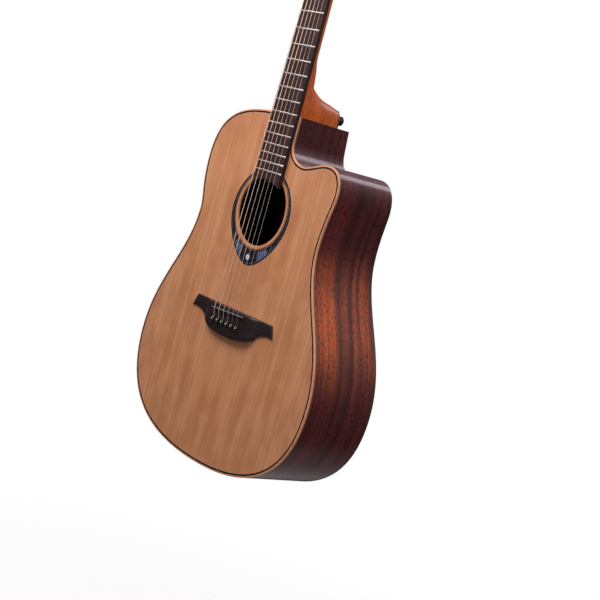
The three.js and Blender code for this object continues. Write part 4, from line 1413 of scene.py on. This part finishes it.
    def truss_cover(self) -> None:
        """Builds the small bell-shaped cover over the truss rod's end, with its two screws."""
        share = np.linspace(0, 1, 40)
        z = 3.5 + 33 * share
        half = 9 - 4.5 * ease(share, 0.15, 0.75)
        half = half * np.sqrt(np.clip(1 - np.clip((share - 0.86) / 0.14, 0, 1) ** 2, 0, 1))
        rim = np.minimum(0.6, half)
        grid = sections((-half, 0.4, z), (-half, -0.9, z), (rim - half, -1.3, z), (half - rim, -1.3, z),
                        (half, -0.9, z), (half, 0.4, z))
        Shell().bar(tilt(grid)).make("truss_cover", BLACK_PLASTIC)
        shell = Shell()
        screw = [(0, -1.2), (1.7, -1.2), (1.7, -1.6), (1.2, -2), (0, -2.05)]
        for screw_z in (7.5, 31):
            shell.add(tilt(turned(screw, (0, 0, screw_z), Turn.BACK, 20)))
        shell.make("truss_cover_screws", CHROME)


# ---- Bridge, strings and fittings --------------------------------------------------------------


@dataclass
class Bridge:
    """The bridge with its saddle and six pins.

    Attributes:
        x: How far its middle lies towards the treble side.
        thick: Its height over the soundboard.
        wing: Its height at the wings.
        top_z: Its straight upper edge.
        top_half: Half that edge's length.
        tip: Half its full length, and the height of the tips.
        lower: Its lower edge, as distances from the middle and heights.
        saddle_half: Half the saddle's length.
        saddle_z: The saddle's height on the bass side and on the treble side.
        saddle_top: The depth of the saddle's top, in front of the soundboard.
        pin_z: The height of the row of pins.
    """

    x: float = 3
    thick: float = 8.9
    wing: float = 3.2
    top_z: float = 229
    top_half: float = 89
    tip: Point = (96.5, 210.5)
    lower: Sequence[Point] = ((0, 187), (14, 187.1), (28, 188.6), (40, 191.2), (50, 194.4),
                              (57, 197.5), (58.2, 198.7), (59.3, 200.9), (62, 203.8), (67, 206.7),
                              (74, 209.6), (82, 211.4), (90, 211.7), (96.5, 210.5))
    saddle_half: float = 37
    saddle_z: Point = (221.3, 224.3)
    saddle_top: float = -12.45
    pin_z: float = 206.5

    def build(self) -> None:
        """Builds the bridge, the saddle and the pins."""
        self.block()
        self.saddle()
        self.pins()

    def block(self) -> None:
        """Builds the block: across it y = -h (1 - |2v - 1|^p)^(1/p), with h dropping to the wings."""
        half, tip_z = self.tip
        # Columns stand closer together where the lower edge turns up to the wing.
        away = np.concatenate([np.linspace(0, 56, 36), np.linspace(56.8, 61.5, 8), np.linspace(62.5, 88, 18),
                               np.linspace(89, half, 10)])
        x = np.concatenate([-away[::-1], away[1:]])
        a = np.abs(x)
        low = np.interp(a, *np.asarray(self.lower, float).T)
        high = np.where(a < self.top_half, self.top_z,
                        np.interp(a, [self.top_half, half], [self.top_z, tip_z]))
        high = np.maximum(high, low)
        scoop = ease(a, 44, 66)
        height = self.thick * (1 - scoop) + self.wing * scoop
        height = height * (1 - 0.35 * ease(a, 84, half))
        v = np.concatenate([[0], (1 - np.cos(np.linspace(0.08, 1, 27) * math.pi)) / 2])[None]
        power = (9 - 4 * ease(a, 30, 64))[:, None]
        dome = np.clip(1 - np.abs(2 * v - 1) ** power, 0, 1) ** (1 / power)
        z = low[:, None] + (high - low)[:, None] * v
        y = -height[:, None] * dome
        wide = np.broadcast_to((x + self.x)[:, None], z.shape)
        top = np.stack([wide, y, z], axis=-1)
        foot = top[:, [-1, 0]] * (1, 0, 1) + (0, 0.05, 0)
        Shell().bar(np.concatenate([top, foot], axis=1)).make(
            "rosewood_bridge", BRIDGE_ROSEWOOD, replaces=["bridge"], sharp=50)

    def saddle(self) -> None:
        """Builds the saddle: a strip whose round top is highest at its middle and slants in z."""
        x = np.linspace(-self.saddle_half, self.saddle_half, 60)
        z = np.interp(x, [-self.saddle_half, self.saddle_half], self.saddle_z)
        top = self.saddle_top + 1.1 * (x / self.saddle_half) ** 4
        bead = np.linspace(0, math.pi, 9)
        y = np.concatenate([top[:, None] + (1 - np.sin(bead)), np.full((60, 2), -6.0)], axis=1)
        across = np.concatenate([-np.cos(bead), [1, -1]])
        grid = np.stack([np.broadcast_to(x[:, None], y.shape), y, z[:, None] + across], axis=-1)
        Shell().bar(grid).make("bone_saddle", SADDLE_BONE, replaces=["saddle"])

    def pins(self) -> None:
        """Builds each turned pin with a groove under its head and a white dot on top."""
        for number in range(1, 7):
            low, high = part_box(f"bridge_pin_{number}")
            centre = ((low.x + high.x) / 2 / MM, 0, self.pin_z)
            face = (low.y - FACE_Y) / MM
            head = [(0, 9), (1.7, 9), (2.4, face + 3.4), (2.5, face + 3.2), (3.6, face + 2.9),
                    (3.8, face + 2.2), (3.7, face + 1.3), (3.1, face + 0.5), (2, face + 0.1), (0, face)]
            Shell().add(turned(head, centre, Turn.BACK, 28)).make(
                f"pin_{number}", BLACK_PLASTIC, replaces=[f"bridge_pin_{number}"])
            dot = [(0, face + 0.4), (1.2, face + 0.4), (1.2, face - 0.08), (0, face - 0.14)]
            Shell().add(turned(dot, centre, Turn.BACK, 20)).make(f"pin_{number}_dot", PEARL_DOT)


@dataclass
class Tuner:
    """One geared tuner, with the string that ends on it.

    Attributes:
        number: The string's number, 1 the thinnest.
        radius: The string's radius.
        bridge: The bridge that the string starts from.
        pitch: How far apart the posts stand up the headstock.
        edge_gap: How far the posts stand inside the headstock's edge.
        worm_rise: How much higher than the post the button's shaft is.
        worm_depth: How deep the button's shaft is.
        groove: The post's radius where the string winds on it.
        ends: How far the outer strings are from the middle line at the pins, saddle and nut.
    """

    number: int
    radius: float
    bridge: Bridge
    pitch: float = 42
    edge_gap: float = 10
    worm_rise: float = 8.1
    worm_depth: float = 19.8
    groove: float = 2.85
    ends: Point3 = (28, 27, 18)

    @property
    def side(self) -> int:
        """Which side of the headstock it is on, +1 for treble."""
        return 1 if self.number < 4 else -1

    @property
    def row(self) -> float:
        """How far up the headstock its post stands."""
        return self.pitch * min(self.number, 7 - self.number)

    @property
    def x(self) -> float:
        """How far its post is from the middle line.

        Returns:
            The distance inside the headstock's straight side, with the sign of the tuner's side.
        """
        (foot_x, foot_z), (end_x, end_z) = HEAD_FOOT, HEAD_SHOULDER
        edge = foot_x + (self.row - foot_z) * (end_x - foot_x) / (end_z - foot_z)
        return self.side * (edge - self.edge_gap)

    @property
    def wound(self) -> Finish:
        """What its string is made of."""
        return WOUND_BRONZE if self.number > 2 else PLAIN_STEEL

    def build(self) -> None:
        """Builds the case, the post, the button and the string."""
        self.case()
        self.post()
        self.button()
        self.string()
        self.wraps()

    def case(self) -> None:
        """Builds the rounded gear case with its screw, and the nut and washer on the front."""
        x, z, ear_x = self.x, self.row, self.x + self.side * 1.5
        stud = [(0, 25.2), (1.9, 25.2), (1.9, 26.1), (1.4, 26.5), (0, 26.5)]
        screw = [(0, 16.6), (2, 16.6), (1.8, 17.9), (1.2, 18.3), (0, 18.3)]
        shell = Shell()
        shell.add(pebble((x, 20, z + 2.5), (7.5, 4.9, 10), 6, 28, 56))
        shell.add(pebble((x, 24.6, z + 2.5), (5.2, 0.9, 7.6), 5, 20, 40))
        shell.add(turned(stud, (x, 0, z + self.worm_rise), Turn.BACK, 20))
        shell.add(pebble((ear_x, 16.3, z - 9.2), (3.4, 1.1, 3.6), 3.2, 14, 28))
        shell.add(turned(screw, (ear_x, 0, z - 9.6), Turn.BACK, 20))
        washer = [(3.3, 0.4), (7, 0.4), (7.2, 0), (7, -0.5), (5.5, -0.7), (3.3, -0.7)]
        nut = [(3.3, -0.6), (4.6, -0.6), (4.6, -2.2), (4.3, -2.5), (3.3, -2.5)]
        sleeve = [(3.2, 0), (3.9, 0), (3.9, -3.9), (3.6, -4.2), (3.2, -4.2)]
        for profile, flats in ((washer, 0), (nut, 6), (sleeve, 0)):
            shell.add(turned(profile, (x, 0, z), Turn.BACK, 36, flats), wrap_rows=True)
        shell.points = [tilt(part) for part in shell.points]
        shell.make(f"tuner_{self.number}_case", CHROME, replaces=[f"tuner_{self.number}_housing"])

    def post(self) -> None:
        """Builds the turned post, narrower where the string winds on it."""
        profile = [(0, 19), (3, 19), (3, -6.6), (self.groove, -7.2), (self.groove, -13.4), (3, -14),
                   (3, -15.9), (2.6, -16.6), (1.6, -17), (0, -17)]
        shell = Shell().add(turned(profile, (self.x, 0, self.row), Turn.BACK, 32))
        shell.points = [tilt(part) for part in shell.points]
        shell.make(f"tuner_{self.number}_peg", CHROME, f"post_{self.number}",
                   [f"tuner_{self.number}_post"])

    def button(self) -> None:
        """Builds the button: a collar on its shaft and an oval head pinched at its root."""
        y, z = self.worm_depth, self.row + self.worm_rise
        shaft = [(0, 2), (2.1, 2), (2.1, 7.8), (3.3, 8), (3.5, 8.6), (3.3, 9.6), (2.3, 10), (2.2, 12.4),
                 (3, 13.4), (0, 14.4)]
        shell = Shell().add(turned(shaft, (0, y, z), Turn.TREBLE, 28))
        head = pebble((0, 0, 0), (7, 3.9, 8.5), 2.7, 28, 56)
        share = ease(head[..., 0], -7, 4)
        head[..., 1] *= 0.72 + 0.28 * share
        head[..., 2] *= 0.8 + 0.2 * share
        shell.add(head + (19.9, y, z))
        shell.points = [tilt(part * (self.side, 1, 1) + (self.x, 0, 0)) for part in shell.points]
        shell.make(f"tuner_{self.number}_button", CHROME, f"knob_{self.number}",
                   [f"tuner_{self.number}_knob"])

    def route(self) -> Array:
        """Lays out the string from under its pin, over the saddle and the nut, to its post.

        Returns:
            The points where it bends, with its two ends.
        """
        share = (self.number - 1) / 5
        pin_x, saddle_x, nut_x = (half - 2 * half * share for half in self.ends)
        reach = self.bridge.saddle_half
        saddle_z = np.interp(saddle_x, [-reach, reach], self.bridge.saddle_z)
        end = tilt(np.array([self.x - self.side * (2.95 + self.radius), -9, self.row]))
        return np.array([
            (pin_x, 2, 208.3), (pin_x, -8.3, 209.4), (pin_x, -9.6, 210.6),
            (saddle_x, -12.65 - self.radius, saddle_z - 0.2),
            (nut_x, -8.1 - self.radius, HEAD_PIVOT), end,
        ])

    def string(self) -> None:
        """Builds the fixed length of string, whose bends are eased by averaging three near points."""
        path = self.route()
        run = lengths(path)
        saddle, nut, post = run[3:]
        places = np.concatenate([
            np.arange(0, saddle + 6, 0.7), np.linspace(saddle + 8, nut - 8, 30),
            np.arange(nut - 6, nut + 6, 0.7), np.linspace(nut + 8, post, 5),
        ])
        eased = sum(along(path, np.clip(places + shift, 0, post)) for shift in (-1, 0, 1)) / 3
        grid = tube(eased, self.radius, (1, 0, 0))
        row_run = np.concatenate([[0], places, places[-1:]])
        self.mapped(grid, row_run).make(
            f"steel_string_{self.number}", self.wound, replaces=[f"string_{self.number}"])

    def mapped(self, grid: Array, row_run: Array) -> Shell:
        """Makes a shell of a tube, with the grain map's first number running along it.

        Args:
            grid: The tube's rings.
            row_run: How far along the tube each ring is.

        Returns:
            A shell that holds the tube.
        """
        swapped = np.swapaxes(np.concatenate([grid, grid[:, :1]], axis=1), 0, 1)
        rise = np.zeros(swapped.shape[:2])
        return Shell().add(swapped, wrap_cols=False, run=row_run, rise=rise)

    def wraps(self) -> None:
        """Builds the turns on the post: a helix about it that ends close in to the post."""
        turns = 3.2 if self.number > 2 else 4.2
        angle = np.linspace(0, TAU * turns, int(40 * turns))
        close = self.groove + self.radius - (self.radius + 0.8) * ease(angle, angle[-1] - 0.8, angle[-1])
        climb = -9 + 2.12 * self.radius * angle / TAU
        x = self.x - self.side * close * np.cos(angle)
        path = tilt(np.stack([x, climb, self.row + close * np.sin(angle)], axis=-1))
        axis = tilt(np.array([0, 1, 0])) - tilt(np.zeros(3))
        self.mapped(tube(path, self.radius, tuple(axis)), np.concatenate([[0], lengths(path), [0]])).make(
            f"string_{self.number}_wraps", self.wound, f"post_{self.number}")


@dataclass
class StrapButtons:
    """The two turned strap buttons.

    Attributes:
        profile: Radii and heights from the stem to the face.
        tail: Where the foot of the one at the tail is.
        heel: Where the foot of the one on the heel cap is.
    """

    profile: Sequence[Point] = ((0, -6), (3, -6), (3, -0.05), (6.6, -0.05), (6.6, 1.2), (6, 2.3), (4.9, 3.6),
                                (4.4, 5.2), (4.4, 7), (4.9, 8.2), (6.2, 9.2), (7, 10.2), (7, 11.2),
                                (6.5, 11.9), (3, 12), (2.6, 11.5), (2.4, 11.2), (0, 11.2))
    tail: Point3 = (0, 58.75, 0)
    heel: Point3 = (0, 87.7, 527)

    def build(self) -> None:
        """Builds the button at the tail and the one on the heel cap."""
        Shell().add(turned(self.profile, self.tail, Turn.DOWN, 40)).make(
            "tail_strap_button", BLACK_PLASTIC, replaces=["end_button"])
        Shell().add(turned(self.profile, self.heel, Turn.BACK, 40)).make(
            "heel_strap_button", BLACK_PLASTIC, replaces=["heel_button"])


# ---- Studio ------------------------------------------------------------------------------------


@dataclass
class Studio:
    """The camera, the soft lights and the pale floor.

    Attributes:
        place: Where the camera stands, in metres.
        right: The camera's own rightward axis.
        up: Its upward axis.
        back: Its backward axis.
        lens: Its focal length on a 36 mm sensor.
        floor_z: The floor's height.
        floor_radius: The floor's radius.
    """

    place: Point3 = (1.46354, -1.25203, 0.47879)
    right: Point3 = (0.62084, 0.73615, 0.26954)
    up: Point3 = (-0.25644, -0.13421, 0.95720)
    back: Point3 = (0.74081, -0.66338, 0.10545)
    lens: float = 79.887
    floor_z: float = -0.4
    floor_radius: float = 1.3

    def camera(self) -> None:
        """Makes the camera from its three axes and its place."""
        data = bpy.data.cameras.new("camera")
        data.lens, data.sensor_width = self.lens, 36
        eye = bpy.data.objects.new("camera", data)
        turn = Matrix((self.right, self.up, self.back)).transposed()
        eye.matrix_world = Matrix.Translation(self.place) @ turn.to_4x4()
        bpy.context.scene.collection.objects.link(eye)
        bpy.context.scene.camera = eye

    def light(self, name: str, place: Point3, aim: Point3, size: Point, watts: float,
              colour: Colour = (1, 1, 1)) -> None:
        """Hangs one soft light.

        Args:
            name: Its name.
            place: Where it hangs.
            aim: What it points at.
            size: Its width and height.
            watts: Its power.
            colour: Its colour.
        """
        data = bpy.data.lights.new(name, "AREA")
        data.shape, (data.size, data.size_y) = "RECTANGLE", size
        data.energy, data.color = watts, colour
        lamp = bpy.data.objects.new(name, data)
        lamp.location = place
        lamp.rotation_euler = (Vector(aim) - Vector(place)).to_track_quat("-Z", "Y").to_euler()
        bpy.context.scene.collection.objects.link(lamp)

    def lights(self) -> None:
        """Hangs a soft light over the front, a strip before it, one beside it and one behind it."""
        self.light("overhead", (-0.3, -0.75, 1.38), (0, 0, 0.45), (1, 0.7), 20.5, (1, 0.97, 0.94))
        self.light("front_strip", (0.8, -2.5, 0.5), (0, 0, 0.4), (0.5, 1.8), 8, (1, 0.94, 0.9))
        self.light("side_fill", (2.3, -0.4, 1.2), (0, 0, 0.25), (1.4, 1.4), 17, (1, 0.93, 0.88))
        self.light("rear_sky", (0.3, 1.7, 2), (0, 0, 0.45), (0.9, 1.2), 11, (0.96, 0.88, 1))

    def world(self) -> None:
        """Makes a plain white backdrop that lights the object less than it shows."""
        scene = bpy.context.scene
        scene.world = bpy.data.worlds.new("studio")
        scene.world.use_nodes = True
        nodes = Nodes(scene.world.node_tree)
        heading = nodes.add("TexCoord").outputs["Generated"]
        lean = nodes.add("VectorMath", heading, (0.2, 0.3, 0.8), operation="DOT_PRODUCT").outputs["Value"]
        glow = nodes.ramp(nodes.span(lean, -0.9, 0.9), [
            (0, (0.03, 0.025, 0.03)), (0.5, (0.06, 0.055, 0.06)), (0.75, (0.13, 0.12, 0.13)),
            (0.87, (0.22, 0.2, 0.22)), (1, (0.5, 0.46, 0.5))])
        seen = nodes.add("Background", (1, 1, 1, 1), 1.0).outputs[0]
        lit = nodes.add("Background", glow, 1.0).outputs[0]
        ray = nodes.add("LightPath").outputs["Is Camera Ray"]
        nodes.add("OutputWorld", nodes.add("MixShader", ray, lit, seen).outputs[0])

    def floor(self) -> None:
        """Lays a pale round floor, half clear at its middle and all clear before its rim."""
        mesh = bpy.data.meshes.new("floor")
        angle, reach = np.linspace(0, TAU, 96, endpoint=False), self.floor_radius
        ring = np.stack([reach * np.cos(angle), reach * np.sin(angle), np.full(96, self.floor_z)], axis=1)
        mesh.from_pydata(ring.tolist(), [], [list(range(96))])
        disc = bpy.data.objects.new("floor", mesh)
        paint = bpy.data.materials.new("pale_floor")
        paint.use_nodes = True
        nodes = Nodes(paint.node_tree)
        place = nodes.add("TexCoord").outputs["Object"]
        flat = nodes.add("VectorMath", place, (1, 1, 0), operation="MULTIPLY").outputs[0]
        away = nodes.add("VectorMath", flat, operation="LENGTH").outputs["Value"]
        pale = nodes.add("BsdfDiffuse", (0.96, 0.96, 0.96, 1), 0.5).outputs[0]
        clear = nodes.add("BsdfTransparent").outputs[0]
        thin = nodes.span(away, 0.1, 1.1, 0.5, 1)
        nodes.add("OutputMaterial", nodes.add("MixShader", thin, pale, clear).outputs[0])
        mesh.materials.append(paint)
        bpy.context.scene.collection.objects.link(disc)

    def build(self) -> None:
        """Sets up everything round the object."""
        self.lights()
        self.world()
        self.floor()
        bpy.context.scene.view_settings.view_transform = "Standard"


def dress_frame() -> None:
    """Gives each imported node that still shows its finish: the wood inside the box and the rod."""
    finishes = {"bridge_plate": ROSEWOOD, "truss_rod": PLAIN_STEEL}
    for name in ("neck_block", "tail_block", "x_brace", "upper_brace", "tone_bar_upper", "tone_bar_lower",
                 "bridge_plate", "back_brace_1", "back_brace_2", "back_brace_3", "back_brace_4", "truss_rod"):
        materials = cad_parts[name].data.materials
        materials.clear()
        materials.append(finishes.get(name, SPRUCE).material())
        log.info("%s keeps its packed shape", name)


def main() -> None:
    """Builds the studio and then each part of the guitar."""
    logging.basicConfig(level=logging.INFO, format="%(name)s: %(message)s")
    studio, bridge = Studio(), Bridge()
    studio.camera()
    tuners = [Tuner(number, radius, bridge) for number, radius in enumerate(STRING_RADII, 1)]
    for part in (studio, SoundBox(), Rosette(), Neck(), bridge, StrapButtons(), *tuners):
        log.info("building %s", type(part).__name__)
        part.build()
    dress_frame()


if __name__ == "__main__":
    main()
